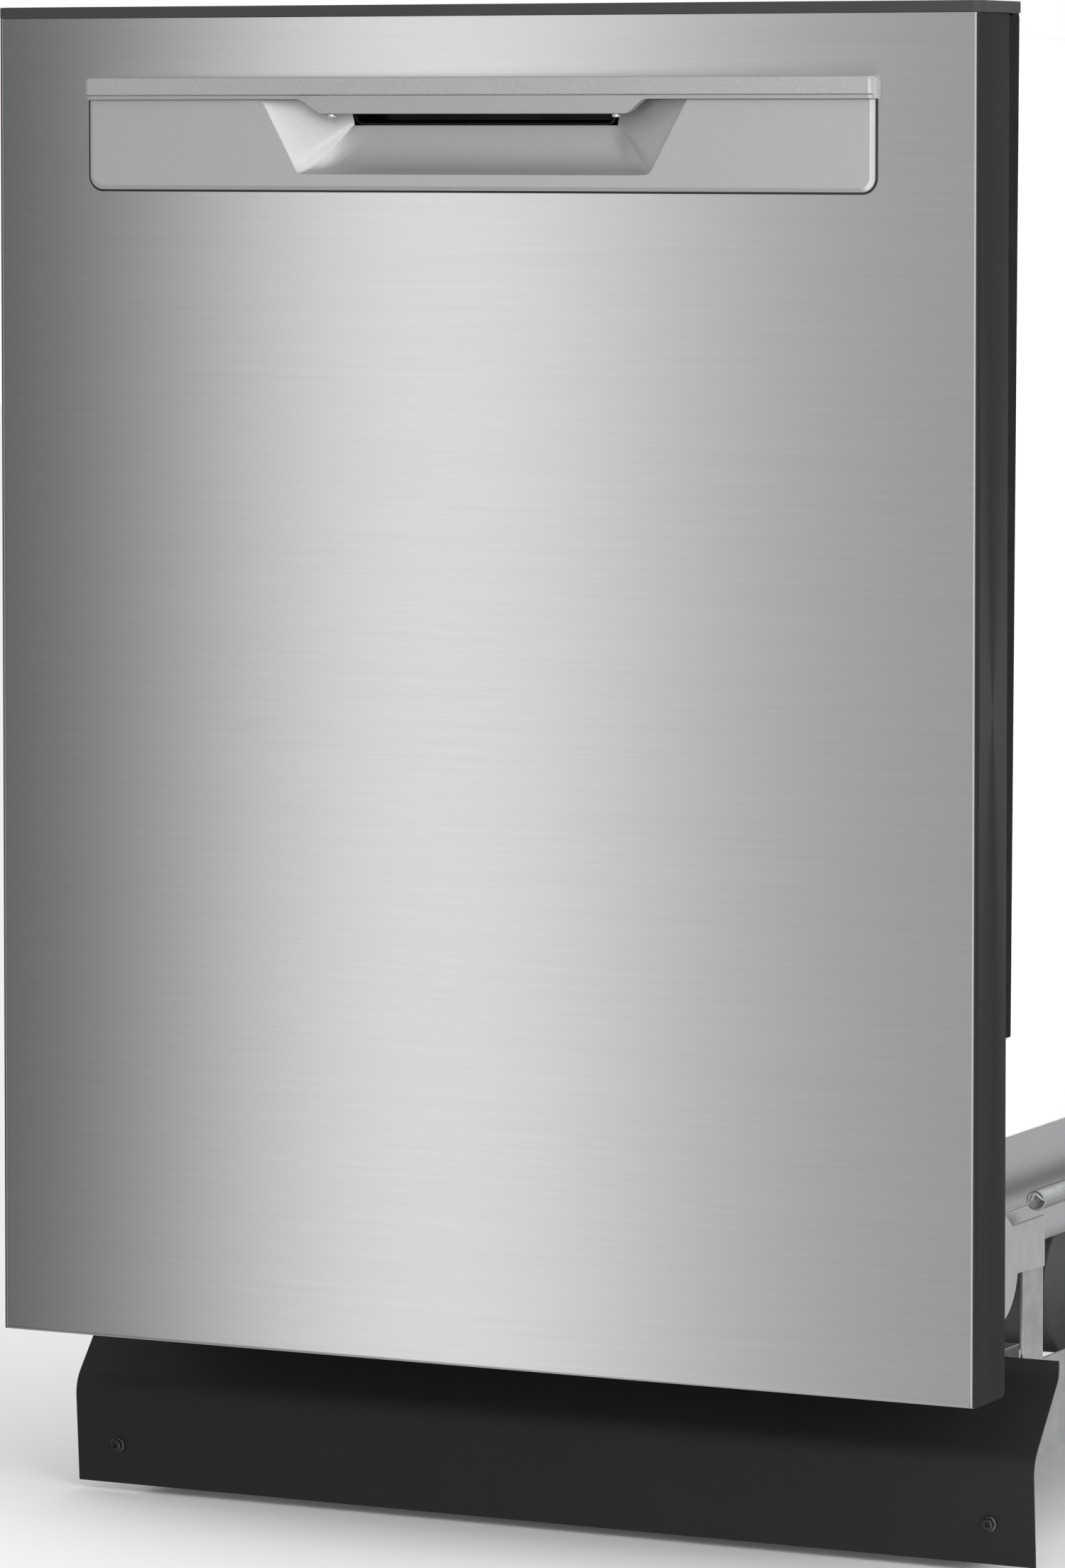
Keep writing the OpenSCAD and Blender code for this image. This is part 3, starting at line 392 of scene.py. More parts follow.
def heater_alloy():
    """Alloy tube with the straw and violet tints of use."""
    alloy = Finish("heater_alloy", (0.30, 0.27, 0.24), 0.34, 1.0)
    tint = alloy.remap(alloy.noise(14, detail=2.0), 0, 1)
    alloy.link(alloy.mixed(tint, (0.34, 0.27, 0.19, 1), (0.21, 0.20, 0.27, 1)), "Base Color")
    alloy.wear(120, 0.08).grain(900, 0.01)
    return alloy.material


def circuit_board():
    """Green board with lighter copper tracks under the lacquer."""
    board = Finish("circuit_board", (0.02, 0.12, 0.05), 0.35, 0.0, Coat_Weight=0.5)
    tracks = board.remap(board.noise(160, (1, 5, 1), 1.0), 0, 1, 0.48, 0.52)
    board.link(board.mixed(tracks, board.shade(0.8), (0.06, 0.24, 0.08, 1)), "Base Color")
    board.grain(160, 0.03, (1, 5, 1), 1.0)
    return board.material


STEEL = door_steel()
TUB_STEEL = brushed("tub_steel", (0.56, 0.57, 0.58), 0.33, 0.5).material
SIEVE_STEEL = brushed("filter_steel", (0.40, 0.41, 0.42), 0.4, 0.4).material
CONSOLE = moulded("console_plastic", (0.04, 0.04, 0.041), 0.55, 0.02, 1500, Specular_IOR_Level=0.25)
GLASS_BLACK = moulded("display_black", (0.008, 0.009, 0.01), 0.08, 0.001, 300, Coat_Weight=1.0)
KEYS = moulded("key_plastic", (0.11, 0.11, 0.112), 0.42, 0.01)
FASCIA = silver_paint("fascia_silver", (0.40, 0.40, 0.40), 0.4, 0.07)
BAR = silver_paint("bar_silver", (0.385, 0.385, 0.385), 0.46, 0.10)
SLOT_BLACK = moulded("slot_black", (0.005, 0.005, 0.006), 0.3, 0.002, 500, Specular_IOR_Level=0.2)
BRIGHT = sheet_metal("bright_screw", (0.72, 0.72, 0.72), 0.2, 0.03)
LINER = moulded("liner_black", (0.0045, 0.0045, 0.0047), 0.6, 0.008, 1600, Specular_IOR_Level=0.1)
RUBBER = moulded("seal_rubber", (0.018, 0.018, 0.019), 0.7, 0.02, 1200, Specular_IOR_Level=0.3)
SMOKE = moulded("smoke_plastic", (0.09, 0.095, 0.1), 0.4, 0.01)
LID = moulded("lid_plastic", (0.16, 0.17, 0.175), 0.36, 0.008)
BLUE = moulded("cap_blue", (0.05, 0.15, 0.42), 0.35, 0.008)
ZINC = sheet_metal("zinc_plate", (0.52, 0.53, 0.54), 0.36, 0.05)
GALVANISED = sheet_metal("galvanised", (0.44, 0.45, 0.46), 0.42, 0.12)
KICK = moulded("kick_paint", (0.0155, 0.0155, 0.0157), 0.5, 0.014, 1100, Specular_IOR_Level=0.18)
KICK_SCREW = moulded("black_screw", (0.01, 0.01, 0.0105), 0.3, 0.006, 900)
PUMP = moulded("pump_plastic", (0.07, 0.075, 0.078), 0.48, 0.015)
SUMP = moulded("sump_plastic", (0.12, 0.125, 0.13), 0.45, 0.012)
ARM = moulded("arm_plastic", (0.34, 0.355, 0.365), 0.4, 0.01)
WHITE = moulded("white_plastic", (0.72, 0.72, 0.70), 0.38, 0.008)
COATED = moulded("coated_wire", (0.42, 0.44, 0.46), 0.33, 0.01, 600)
BASKET = moulded("basket_plastic", (0.13, 0.14, 0.145), 0.45, 0.012)
SPRING = sheet_metal("spring_wire", (0.34, 0.35, 0.36), 0.3, 0.08)
LEG = sheet_metal("leg_plate", (0.16, 0.165, 0.17), 0.4, 0.08)
HOSE = moulded("hose_plastic", (0.62, 0.62, 0.58), 0.3, 0.006, 500)
BLANKET = fibre("blanket_fibre", (0.86, 0.855, 0.835), 0.07)
PAD = fibre("pad_fibre", (0.23, 0.205, 0.17), 0.3)
HEATER = heater_alloy()
BOARD = circuit_board()


# ---------------------------------------------------------------- door skin


def door_panel():
    """One folded sheet: the front, two side returns with rounded lower corners and a bottom return."""
    bend, foot_bend, relief = 3.0, 2.0, 3.4
    half, deep = PANEL_HALF, PANEL_DEPTH
    corner = 4.0
    window_x, window_low, window_top = 239.0, 664.0, 716.0
    arc = [math.radians(a) for a in span(0, 90, 6)]
    right = [(half - bend + bend * math.sin(a), bend - bend * math.cos(a)) for a in arc]
    corner_depths = [deep - corner + corner * math.sin(a) for a in arc[1:]]
    right += [(half, depth) for depth in (deep - corner, *corner_depths)]
    front = [(x, 0.0) for x in (-half + relief, -275.0, -window_x, 0.0, window_x, 275.0, half - relief)]
    plan = [(-x, d) for x, d in reversed(right)] + front + right
    rises = [foot_bend, 12.0, window_low, window_top, PANEL_RISE]
    verts = []
    for rise in rises:
        for x, depth in plan:
            low = rise
            if rise == rises[0] and abs(x) > half - relief + 0.01:
                over = max(0.0, depth - (deep - corner))
                low = 0.3 + corner - math.sqrt(max(0.0, corner**2 - over**2))
            verts.append(at_door(x, depth, low))

    def in_window(r, c):
        x = (plan[c][0] + plan[c + 1][0]) / 2
        return abs(x) < window_x and plan[c][1] == 0 and rises[r] == window_low

    skin = verts, grid_faces(len(rises), len(plan), lambda r, c: not in_window(r, c))
    foot = []
    sweep = [(foot_bend - foot_bend * math.cos(a), foot_bend - foot_bend * math.sin(a)) for a in arc]
    for depth, rise in sweep + [(6.0, 0.0), (deep, 0.0)]:
        xs = [x for x, _ in front] if depth <= 6.0 else [x for x, _ in front][1:-1]
        foot.append([at_door(x, depth, rise) for x in xs])
    wide, narrow = foot[:-1], [foot[-2][1:-1], foot[-1]]
    shelf = [p for row in wide for p in row], grid_faces(len(wide), len(wide[0]))
    tongue = [p for row in narrow for p in row], grid_faces(2, len(narrow[0]))
    panel = mesh_piece("door_front", merged(skin, shelf, tongue), "door_panel", STEEL, ["door_panel"])
    thicken(panel, 0.9)
    soften(panel, 0.2, 1, 50)


# ---------------------------------------------------------------- handle

BAR_LOW, BAR_STEP, BAR_TOP = 708.7, 711.0, 721.3
BAR_HALF, BAR_PROUD = 243.0, 7.0
DROP_LOW = 700.7
DROP_OUTER, DROP_INNER = 108.0, 93.0
MOUTH_TOP, MOUTH_FOOT = (131.5, 708.6), (108.6, 667.0)
SLOT_HALF, SLOT_LOW = 84.5, 694.4


def fascia_outline(grow, radius):
    """The fascia's outer edge from its top left round its foot to its top right."""
    half, low = 240.2 + grow, 660.4 - grow
    turn = [math.radians(a) for a in span(0, 90, 8)]
    left = [(-half + radius - radius * math.cos(a), low + radius - radius * math.sin(a)) for a in turn]
    path = [(-half, MOUTH_TOP[1])] + left
    return path + [(-x, rise) for x, rise in reversed(path)]


def mouth_path(steps=22):
    """The pocket's mouth from top left round to top right, with its two lower corners rounded."""
    top, foot = MOUTH_TOP, MOUTH_FOOT
    side = rounded([(-top[0], top[1], 0), (-foot[0], foot[1], 0), (0, foot[1], 0)], 3.2, 6)
    upper = [side[0].lerp(side[1], t) for t in span(0, 1, steps)][:-1]
    lower = [side[-2].lerp(side[-1], t) for t in span(0, 1, steps)][1:]
    left = [(p.x, p.y) for p in upper + side[1:-1] + lower]
    return left + [(-x, rise) for x, rise in reversed(left[:-1])]


def slot_edge(share):
    """The pocket's inner edge at the same share of the way round as the mouth."""
    side, low = 14.2, 2 * (SLOT_HALF - 3.0)
    total = 2 * side + low
    far = share * total
    if far < side:
        return -SLOT_HALF + 3.0 * ease(far / side), MOUTH_TOP[1] - far
    if far > total - side:
        return SLOT_HALF - 3.0 * ease((total - far) / side), MOUTH_TOP[1] - (total - far)
    return -SLOT_HALF + 3.0 + (far - side), SLOT_LOW


def handle_fascia():
    """A bevelled plate whose face folds into a scoop that climbs to the finger slot."""
    proud, scoop_depth, rows = -2.5, 15.0, 16
    outer = [at_door(x, 0.0, rise) for x, rise in fascia_outline(2.4, 8.0)]
    skirt = [at_door(x, -0.9, rise) for x, rise in fascia_outline(2.4, 8.0)]
    shoulder = [at_door(x, proud, rise) for x, rise in fascia_outline(0.0, 6.0)]
    edge = [outer, skirt, shoulder]
    count = len(outer)
    rim = [p for row in edge for p in row], grid_faces(3, count)
    mouth = mouth_path()
    lip = [at_door(x, proud, rise) for x, rise in mouth]
    face = shoulder + lip[::-1], [tuple(range(count + len(lip)))]
    lengths = [0.0]
    for a, b in zip(mouth, mouth[1:]):
        lengths.append(lengths[-1] + math.hypot(b[0] - a[0], b[1] - a[1]))
    corner_left = next(k for k, p in enumerate(mouth) if p[1] < MOUTH_FOOT[1] + 0.6)
    foot_share = lengths[corner_left] / lengths[-1]
    inner_side = 14.2 / (2 * 14.2 + 2 * (SLOT_HALF - 3.0))

    def inner_share(s):
        """Corners of the mouth run to corners of the slot."""
        if s < foot_share:
            return inner_side * s / foot_share
        if s > 1 - foot_share:
            return 1 - inner_side * (1 - s) / foot_share
        return inner_side + (1 - 2 * inner_side) * (s - foot_share) / (1 - 2 * foot_share)

    bowl = []
    for t in span(0, 1, rows):
        row = []
        for (x, rise), length in zip(mouth, lengths):
            s = length / lengths[-1]
            on_side = 1 - ease((min(s, 1 - s) / foot_share - 0.8) / 0.5)
            inner_x, inner_rise = slot_edge(inner_share(s))
            along = (1 - math.cos(math.pi * t / 2)) * (1 - on_side) + t ** 1.15 * on_side
            depth = math.sin(math.pi * t / 2) * (1 - on_side) + t * on_side
            row.append(at_door(
                x + (inner_x - x) * along,
                proud + (scoop_depth - proud) * depth,
                rise + (inner_rise - rise) * along,
            ))
        bowl.append(row)
    scoop = [p for row in bowl for p in row], grid_faces(rows + 1, len(mouth))
    skin = merged(rim, face, scoop)
    fascia = mesh_piece("handle_fascia_skin", skin, "handle_fascia", FASCIA, ["handle_fascia"])
    thicken(fascia, 1.6)
    soften(fascia, 0.35, 3, 24)


def grip_bar():
    """The bar with the groove along its face, its chamfered ends and the lip that droops over the pocket."""
    inner_fall = 9.0

    def low_edge(x):
        t = ease((DROP_OUTER - abs(x)) / (DROP_OUTER - DROP_INNER))
        return BAR_LOW + (DROP_LOW - BAR_LOW) * t

    def section(x):
        low = low_edge(x)
        end = max(0.0, 1 - (BAR_HALF - abs(x)) / 2.6)
        back = 1.8 * end ** 2
        lean = -BAR_PROUD + 0.8 + (BAR_STEP - low) * 0.31
        outline = [
            (0.0, BAR_TOP - back), (-BAR_PROUD + 2.2, BAR_TOP - back),
            (-BAR_PROUD + 1.0, BAR_TOP - 0.35 - back),
            (-BAR_PROUD + 0.3, BAR_TOP - 1.0 - back), (-BAR_PROUD, BAR_TOP - 2.2 - back),
            (-BAR_PROUD, BAR_STEP + 0.75), (-BAR_PROUD + 0.15, BAR_STEP + 0.45),
            (-BAR_PROUD + 1.3, BAR_STEP + 0.25), (-BAR_PROUD + 1.3, BAR_STEP - 0.05),
            (-BAR_PROUD + 0.8, BAR_STEP - 0.25), (lean, low + 0.5),
            (lean + 0.15, low + 0.15), (lean + 0.5, low), (lean + inner_fall * 0.5, low + 0.2),
            (min(9.0, lean + inner_fall), low + 1.2), (0.5, BAR_LOW + 2.4),
        ]
        return [at_door(x, max(d, min(0.0, d + 1.6 * end ** 2)), rise) for d, rise in outline]

    xs = [BAR_HALF, BAR_HALF - 0.3, BAR_HALF - 0.8, BAR_HALF - 1.6, BAR_HALF - 2.6, 180.0]
    xs += span(DROP_OUTER + 2, DROP_INNER - 2, 22) + [40.0]
    xs = xs + [0.0] + [-x for x in reversed(xs)]
    bar = mesh_piece("grip_bar_body", lofted([section(x) for x in xs]), "grip_bar", BAR, ["grip_bar"])
    soften(bar, 0.15, 2, 28)


def finger_slot():
    """The glossy black recess behind the lip, with slanted ends and rounded lower corners, and a thin black
    ring round the fascia that is a painted shadow of the gap between fascia and steel.
    """
    def outline(inset, depth):
        top, low = 708.2 - inset * 0.5, SLOT_LOW + 0.25 + inset
        half = SLOT_HALF - 0.4 - inset
        left = rounded([(-half, top, 0), (-half + 4.5, low, 0), (0, low, 0)], 3.5, 6)
        path = [(p.x, p.y) for p in left] + [(-p.x, p.y) for p in reversed(left[:-1])]
        return [at_door(x, depth, rise) for x, rise in path]

    rings = [outline(0, 36.0), outline(0, 14.2), outline(0.6, 13.6), outline(1.4, 14.2), outline(2.4, 33.0)]
    slot = mesh_piece("finger_slot_tray", lofted(rings), "finger_slot", SLOT_BLACK, ["finger_slot"])
    soften(slot, 0.3, 2, 40)
    # Painted shadow: a thin black ring just proud of the steel round the fascia stands in for the shadow in
    # the gap between fascia and steel.
    shadow_ring = [fascia_outline(grow, radius) for grow, radius in ((0.5, 6.0), (3.6, 9.0))]
    count = len(shadow_ring[0])
    band = [at_door(x, -0.2, rise) for path in shadow_ring for x, rise in path], grid_faces(2, count)
    thicken(mesh_piece("fascia_shadow_ring", band, "finger_slot", RUBBER, ["finger_slot"]), 0.4)


def cross_recess(centre, axis, size, depth):
    """The cutter for a cross-head recess."""
    axis = Vector(axis).normalized()
    side = axis.orthogonal().normalized()
    other = axis.cross(side)
    arm, width = size, size * 0.3
    star = [(arm, width), (width, width), (width, arm)]
    points = []
    for turn in range(4):
        c, s = math.cos(math.pi / 2 * turn), math.sin(math.pi / 2 * turn)
        points += [(x * c - y * s, x * s + y * c) for x, y in star]
    rings = [
        [Vector(centre) + axis * h * MM + (side * x + other * y) * k * MM for x, y in points]
        for h, k in ((0.6, 1.0), (-depth, 0.55))
    ]
    return lofted(rings)


def carve(obj, shape):
    """Cuts a shape out of a piece for good."""
    mesh = bpy.data.meshes.new("cutter")
    mesh.from_pydata([tuple(v) for v in shape[0]], [], shape[1])
    built = bmesh.new()
    built.from_mesh(mesh)
    bmesh.ops.recalc_face_normals(built, faces=built.faces)
    built.to_mesh(mesh)
    built.free()
    cutter = bpy.data.objects.new("cutter", mesh)
    bpy.context.scene.collection.objects.link(cutter)
    cut = obj.modifiers.new("cut", "BOOLEAN")
    cut.operation = "DIFFERENCE"
    cut.solver = "EXACT"
    cut.object = cutter
    bpy.context.view_layer.update()
    result = bpy.data.meshes.new_from_object(obj.evaluated_get(bpy.context.evaluated_depsgraph_get()))
    obj.modifiers.clear()
    obj.data = result
    bpy.data.objects.remove(cutter)


def handle_screws():
    """Two pan-head screws that hold the bar's lip to the pocket."""
    head = [(0, -0.55), (1.4, -0.45), (2.3, -0.05), (2.6, 0.5), (2.6, 1.3), (1.2, 1.3), (1.2, 5.2), (0, 5.2)]
    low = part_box("handle_screws")[0]
    shapes = []
    for side in (-1, 1):
        centre = Vector((side * 88 * MM, STEEL_Y - 0.5 * MM, low.z))
        shapes.append(revolved(head, centre, (0, 0, 1), 28))
    screws = mesh_piece("handle_screw_pair", merged(*shapes), "handle_screws", BRIGHT, ["handle_screws"])
    flat_shading_fix(screws)


# ---------------------------------------------------------------- toe kick


def toe_kick():
    """A sheet bent twice, with soft bends and cut edges."""
    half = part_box("toe_kick")[1].x
    bends = [(0, 88.3, 5.0), (0, 84.3, 64.0), (0, 121.8, 106.5), (0, 121.8, 115.4)]
    profile = rounded(bends, 9.0, 8)
    profile = [(STEEL_Y + p.y * MM, p.z * MM) for p in profile]
    xs = span(-half, half, 12)
    verts = [Vector((x, y, z)) for y, z in profile for x in xs]
    sheet = verts, grid_faces(len(profile), len(xs))
    kick = mesh_piece("toe_kick_sheet", sheet, "toe_kick", KICK, ["toe_kick"])
    thicken(kick, 1.1, -1)
    soften(kick, 0.2, 1, 50)


def kick_screws():
    """Hex washer-head screws with a cross recess."""
    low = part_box("kick_screws")[0]
    disc = [(0, -12), (2, -12), (2, -0.2), (4.3, -0.2), (4.7, 0.15), (4.5, 0.6), (3.2, 1.0), (0, 1.0)]
    layers = [(0.8, 3.7, 0), (2.4, 3.7, 0), (3.0, 3.3, 0.75), (3.2, 2.9, 1.0), (3.2, 2.2, 1.0)]
    replaced = ["kick_screws"]
    for side, name in ((-1, "left"), (1, "right")):
        centre = Vector((side * 276 * MM, low.y + 3.2 * MM, 28 * MM))
        disc_shape = revolved(disc, centre, (0, -1, 0), 40)
        rings = []
        for height, across, blend in layers:
            ring = []
            for k in range(36):
                a = 2 * math.pi * (k + 0.5) / 36
                hexagon = math.cos(math.pi / 6) / math.cos((a % (math.pi / 3)) - math.pi / 6)
                r = across * (hexagon * (1 - blend) + blend) * MM
                ring.append(centre + Vector((r * math.cos(a), -height * MM, r * math.sin(a))))
            rings.append(ring)
        head = mesh_piece("kick_screw_" + name, lofted(rings), "kick_screws", KICK_SCREW, replaced)
        carve(head, cross_recess(centre + Vector((0, -3.2 * MM, 0)), (0, -1, 0), 2.0, 1.6))
        soften(head, 0.12, 2, 40)
        washer = mesh_piece("kick_screw_washer_" + name, disc_shape, "kick_screws", KICK_SCREW, replaced)
        flat_shading_fix(washer)


# ---------------------------------------------------------------- racks and basket


def u_wires(low, high, floor_z, top_z, pitch, along_x):
    """Wires that run down one wall, across the floor and up the other."""
    paths = []
    first, last = (low.y, high.y) if along_x else (low.x, high.x)
    count = round((last - first) / pitch)
    for place in span(first, last, count)[1:-1]:
        start = (low.x, place) if along_x else (place, low.y)
        end = (high.x, place) if along_x else (place, high.y)
        corners = [(*start, top_z), (*start, floor_z), (*end, floor_z), (*end, top_z)]
        paths.append(rounded(corners, 16 * MM, 6))
    return paths


def hoop(low, high, z, corner=22 * MM):
    """A closed ring of wire round a rack, starting midway along its front."""
    middle = (low.x + high.x) / 2
    corners = [
        (middle, low.y, z), (high.x, low.y, z), (high.x, high.y, z), (low.x, high.y, z), (low.x, low.y, z),
        (middle, low.y, z),
    ]
    return rounded(corners, corner, 8)[:-1]


def tines(xs, ys, floor_z, height, lean):
    """Rows of upright pins whose feet stand on the floor wires."""
    knee, tip = floor_z + height * 0.6, floor_z + height
    return [
        [Vector((x, y, floor_z)), Vector((x, y, knee)), Vector((x, y + lean, tip))]
        for x in xs
        for y in ys
    ]


def rack(node, inset, floor_z, top_z, tine_rows, tine_height, lean):
    """A coated wire basket inside its CAD node's outline."""
    low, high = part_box(node)
    low, high = low + inset, high - inset
    hoops = [hoop(low, high, z) for z in (top_z, (floor_z + top_z) / 2, floor_z + 3.2 * MM)]
    wire_piece(node + "_rims", hoops, 2.4, node, COATED, [node], cyclic=True)
    across = u_wires(low, high, floor_z, top_z, 32 * MM, True)
    along = u_wires(low, high, floor_z + 3.2 * MM, top_z, 34 * MM, False)
    wire_piece(node + "_wires", across + along, 1.5, node, COATED, [node])
    step = (high.y - low.y) / round((high.y - low.y) / (32 * MM))
    ys = [low.y + step * k for k in range(3, round((high.y - low.y) / step) - 2)]
    pins = tines(tine_rows, ys, floor_z, tine_height, lean)
    wire_piece(node + "_tines", pins, 1.5, node, COATED, [node])
    return low, high


def side_rails(low, high, z):
    """The upper rack's two channel rails, with their end stops."""
    shapes = []
    for side in (-1, 1):
        inner, outer = 246.5 * MM * side, 257.5 * MM * side
        lip = 1.2 * MM * side
        height = 13.2 * MM
        profile = [
            (inner, z), (outer, z), (outer, z + 3 * MM), (outer - lip, z + 3 * MM),
            (outer - lip, z + 1.2 * MM), (inner + lip, z + 1.2 * MM), (inner + lip, z + height - 1.2 * MM),
            (outer - lip, z + height - 1.2 * MM), (outer - lip, z + height - 3 * MM),
            (outer, z + height - 3 * MM), (outer, z + height), (inner, z + height),
        ]
        ends = [[Vector((x, y, up)) for x, up in profile] for y in (low.y, high.y)]
        shapes.append(lofted(ends))
    return merged(*shapes)


def upper_rack():
    floor_z, top_z = 566 * MM, 688 * MM
    inset = Vector((15 * MM, 3 * MM, 0))
    rows = [x * MM for x in (-180, -110, -40, 40, 110, 180)]
    low, high = rack("upper_rack", inset, floor_z, top_z, rows, 46 * MM, 9 * MM)
    channels = side_rails(low, high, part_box("rail_rollers")[0].z + 18.5 * MM)
    rails = mesh_piece("upper_rack_rails", channels, "upper_rack", TUB_STEEL, ["upper_rack"])
    soften(rails, 0.3, 1, 40)
    blocks = []
    for side in (-1, 1):
        for y in (-197 * MM, 198 * MM):
            x0, x1 = sorted((side * 241.5 * MM, side * 247 * MM))
            blocks.append(box_shape((x0, y - 9 * MM, 636 * MM), (x1, y + 9 * MM, 658 * MM)))
    soften(mesh_piece("upper_rack_clips", merged(*blocks), "upper_rack", SMOKE, ["upper_rack"]), 1.2, 3)
    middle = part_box("middle_spray_arm")
    centre = (middle[0] + middle[1]) / 2
    docking = [(0, 8), (7.9, 8), (7.9, 30), (0, 30)]
    hub = revolved(docking, (0, centre.y, 538 * MM), (0, 0, 1), 32)
    feed_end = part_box("upper_rack")[1].y
    reach = (feed_end - centre.y) / MM - 0.5
    pipe = revolved([(0, 0), (7, 0), (7, reach), (0, reach)], (0, centre.y, 555 * MM), (0, 1, 0), 32)
    soften(mesh_piece("upper_rack_feed", merged(hub, pipe), "upper_rack", SMOKE, ["upper_rack"]), 0.6, 2, 50)


def lower_rack():
    floor_z, top_z = 228 * MM, 398 * MM
    inset = Vector((22.4 * MM, 2.6 * MM, 0))
    rows = [x * MM for x in (-190, -142, -95, -47, 0, 47, 95, 142, 190)]
    rack("lower_rack", inset, floor_z, top_z, rows, 60 * MM, 5 * MM)
    shapes = []
    for side in (-1, 1):
        for wheel in ("rack_wheel_front_right", "rack_wheel_rear_right"):
            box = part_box(wheel)
            centre = (box[0] + box[1]) / 2
            x0, x1 = sorted((side * 235 * MM, side * 240.5 * MM))
            foot, head = centre.z - 7 * MM, centre.z + 62 * MM
            shapes.append(box_shape((x0, centre.y - 9 * MM, foot), (x1, centre.y + 9 * MM, head)))
            axle = [(0, 0), (3.9, 0), (3.9, 18), (3.2, 19.4), (0, 19.4)]
            shapes.append(revolved(axle, (side * 239 * MM, centre.y, centre.z), (side, 0, 0), 28))
    mounts = mesh_piece("lower_rack_wheel_mounts", merged(*shapes), "lower_rack", SMOKE, ["lower_rack"])
    soften(mounts, 1.0, 3, 50)


def box_shape(low, high):
    """A closed block between two corners."""
    (x0, y0, z0), (x1, y1, z1) = low, high
    rings = [[Vector((x, y, z)) for x, y in ((x0, y0), (x1, y0), (x1, y1), (x0, y1))] for z in (z0, z1)]
    return lofted(rings)


def lattice(origin, across, up, cell):
    """A flat grid of cells, for a wall that becomes a lattice."""
    columns = max(1, round(across.length / cell))
    rows = max(1, round(up.length / cell))
    verts = [
        origin + across * c / columns + up * r / rows
        for r in range(rows + 1)
        for c in range(columns + 1)
    ]
    return verts, grid_faces(rows + 1, columns + 1)


def silverware_basket():
    """Open lattice walls and dividers under a solid rim and a bow handle."""
    low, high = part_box("silverware_basket")
    rim_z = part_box("silverware_basket")[1].z - 25 * MM
    wall = 1.4 * MM
    low, high = low + Vector((wall, wall, wall)), high - Vector((wall, wall, 0))
    across, back = Vector((high.x - low.x, 0, 0)), Vector((0, high.y - low.y, 0))
    up = Vector((0, 0, rim_z - low.z))
    cell = 9 * MM
    walls = [
        lattice(low, across, up, cell), lattice(low + back, across, up, cell), lattice(low, back, up, cell),
        lattice(low + across, back, up, cell), lattice(low, across, back, cell),
        lattice(low + across / 3, back, up, cell), lattice(low + across * 2 / 3, back, up, cell),
    ]
    node = "silverware_basket"
    basket = mesh_piece("silverware_lattice", merged(*walls), node, BASKET, [node], False)
    bars = basket.modifiers.new("lattice", "WIREFRAME")
    bars.thickness = 2.0 * MM
    bars.use_even_offset = False
    loop = hoop(low, high, rim_z, 6 * MM)
    wire_piece("silverware_rim", [loop], 1.9, node, BASKET, [node], cyclic=True)
    middle = (low.y + high.y) / 2
    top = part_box("silverware_basket")[1].z - 2.6 * MM
    bow = rounded([(low.x, middle, rim_z), (low.x + 6 * MM, middle, top), (high.x - 6 * MM, middle, top),
                   (high.x, middle, rim_z)], 14 * MM, 8)
    wire_piece("silverware_bow", [bow], 2.5, "silverware_basket", BASKET, ["silverware_basket"])


# ---------------------------------------------------------------- springs, hose, legs


def helix(start, length, radius, turns, steps=14):
    """Points of a coil along +Y."""
    total = turns * steps
    return [
        Vector((start.x + radius * math.cos(2 * math.pi * k / steps), start.y + length * k / total,
                start.z + radius * math.sin(2 * math.pi * k / steps)))
        for k in range(total + 1)
    ]


def door_springs():
    """Close-wound springs hooked to the base, and the cables that wind on the hinge wheels."""
    low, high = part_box("door_springs")
    for side, name in ((-1, "left"), (1, "right")):
        axis = Vector((side * 290 * MM, low.y, 175 * MM))
        line = Vector((axis.x, axis.y, axis.z + 30 * MM))
        front, back = -185 * MM, 60 * MM
        coil = helix(Vector((axis.x, front, line.z)), back - front, 5.1 * MM, 106)
        front_bend, front_end = (axis.x, front - 2 * MM, line.z + 5 * MM), (axis.x, front - 7 * MM, line.z)
        back_bend, back_end = (axis.x, back + 4 * MM, line.z + 4 * MM), (axis.x, high.y - 1 * MM, line.z)
        hook_front = rounded([coil[0], front_bend, front_end], 3 * MM)
        hook_back = rounded([coil[-1], back_bend, back_end], 3 * MM)
        wire = hook_front[::-1] + coil[1:-1] + hook_back
        cable = [line, Vector((axis.x, front - 6 * MM, line.z))]
        wire_piece("spring_" + name, [wire], 0.85, "door_springs", SPRING, ["door_springs"])
        wire_piece("spring_cable_" + name, [cable], 1.1, "door_springs", SPRING, ["door_springs"])
        turn = [
            Vector((axis.x, axis.y + 29.6 * MM * math.sin(a), axis.z + 29.6 * MM * math.cos(a)))
            for a in span(0, 2 * math.pi, 64)[:-1]
        ]
        wire_piece("spring_wrap_" + name, [turn], 1.0, "hinge_arm_" + name, SPRING, cyclic=True)


def fill_hose():
    """A plain hose that climbs from the inlet valve to the port in the tub's floor."""
    low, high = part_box("fill_hose")
    valve_top = low.z
    route = [
        (-193, -120, 119.4), (-193, -117, 134), (-195, -84, 146), (-198, 0, 148), (-203, 80, 148),
        (-208, 112, 153), (-208, 122, 162), (-208, 122, high.z / MM),
    ]
    path = rounded([Vector(p) * MM for p in route], 24 * MM, 6)
    wire_piece("fill_hose_tube", [path], 6.6, "fill_hose", HOSE, ["fill_hose"])
    clips = []
    for height in (valve_top + 5 * MM, valve_top + 7.2 * MM):
        clips.append([
            Vector((-193 * MM + 7 * MM * math.cos(a), -120 * MM + 7 * MM * math.sin(a), height))
            for a in span(0, 2 * math.pi, 24)[:-1]
        ])
    wire_piece("fill_hose_clip", clips, 0.8, "fill_hose", SPRING, cyclic=True)


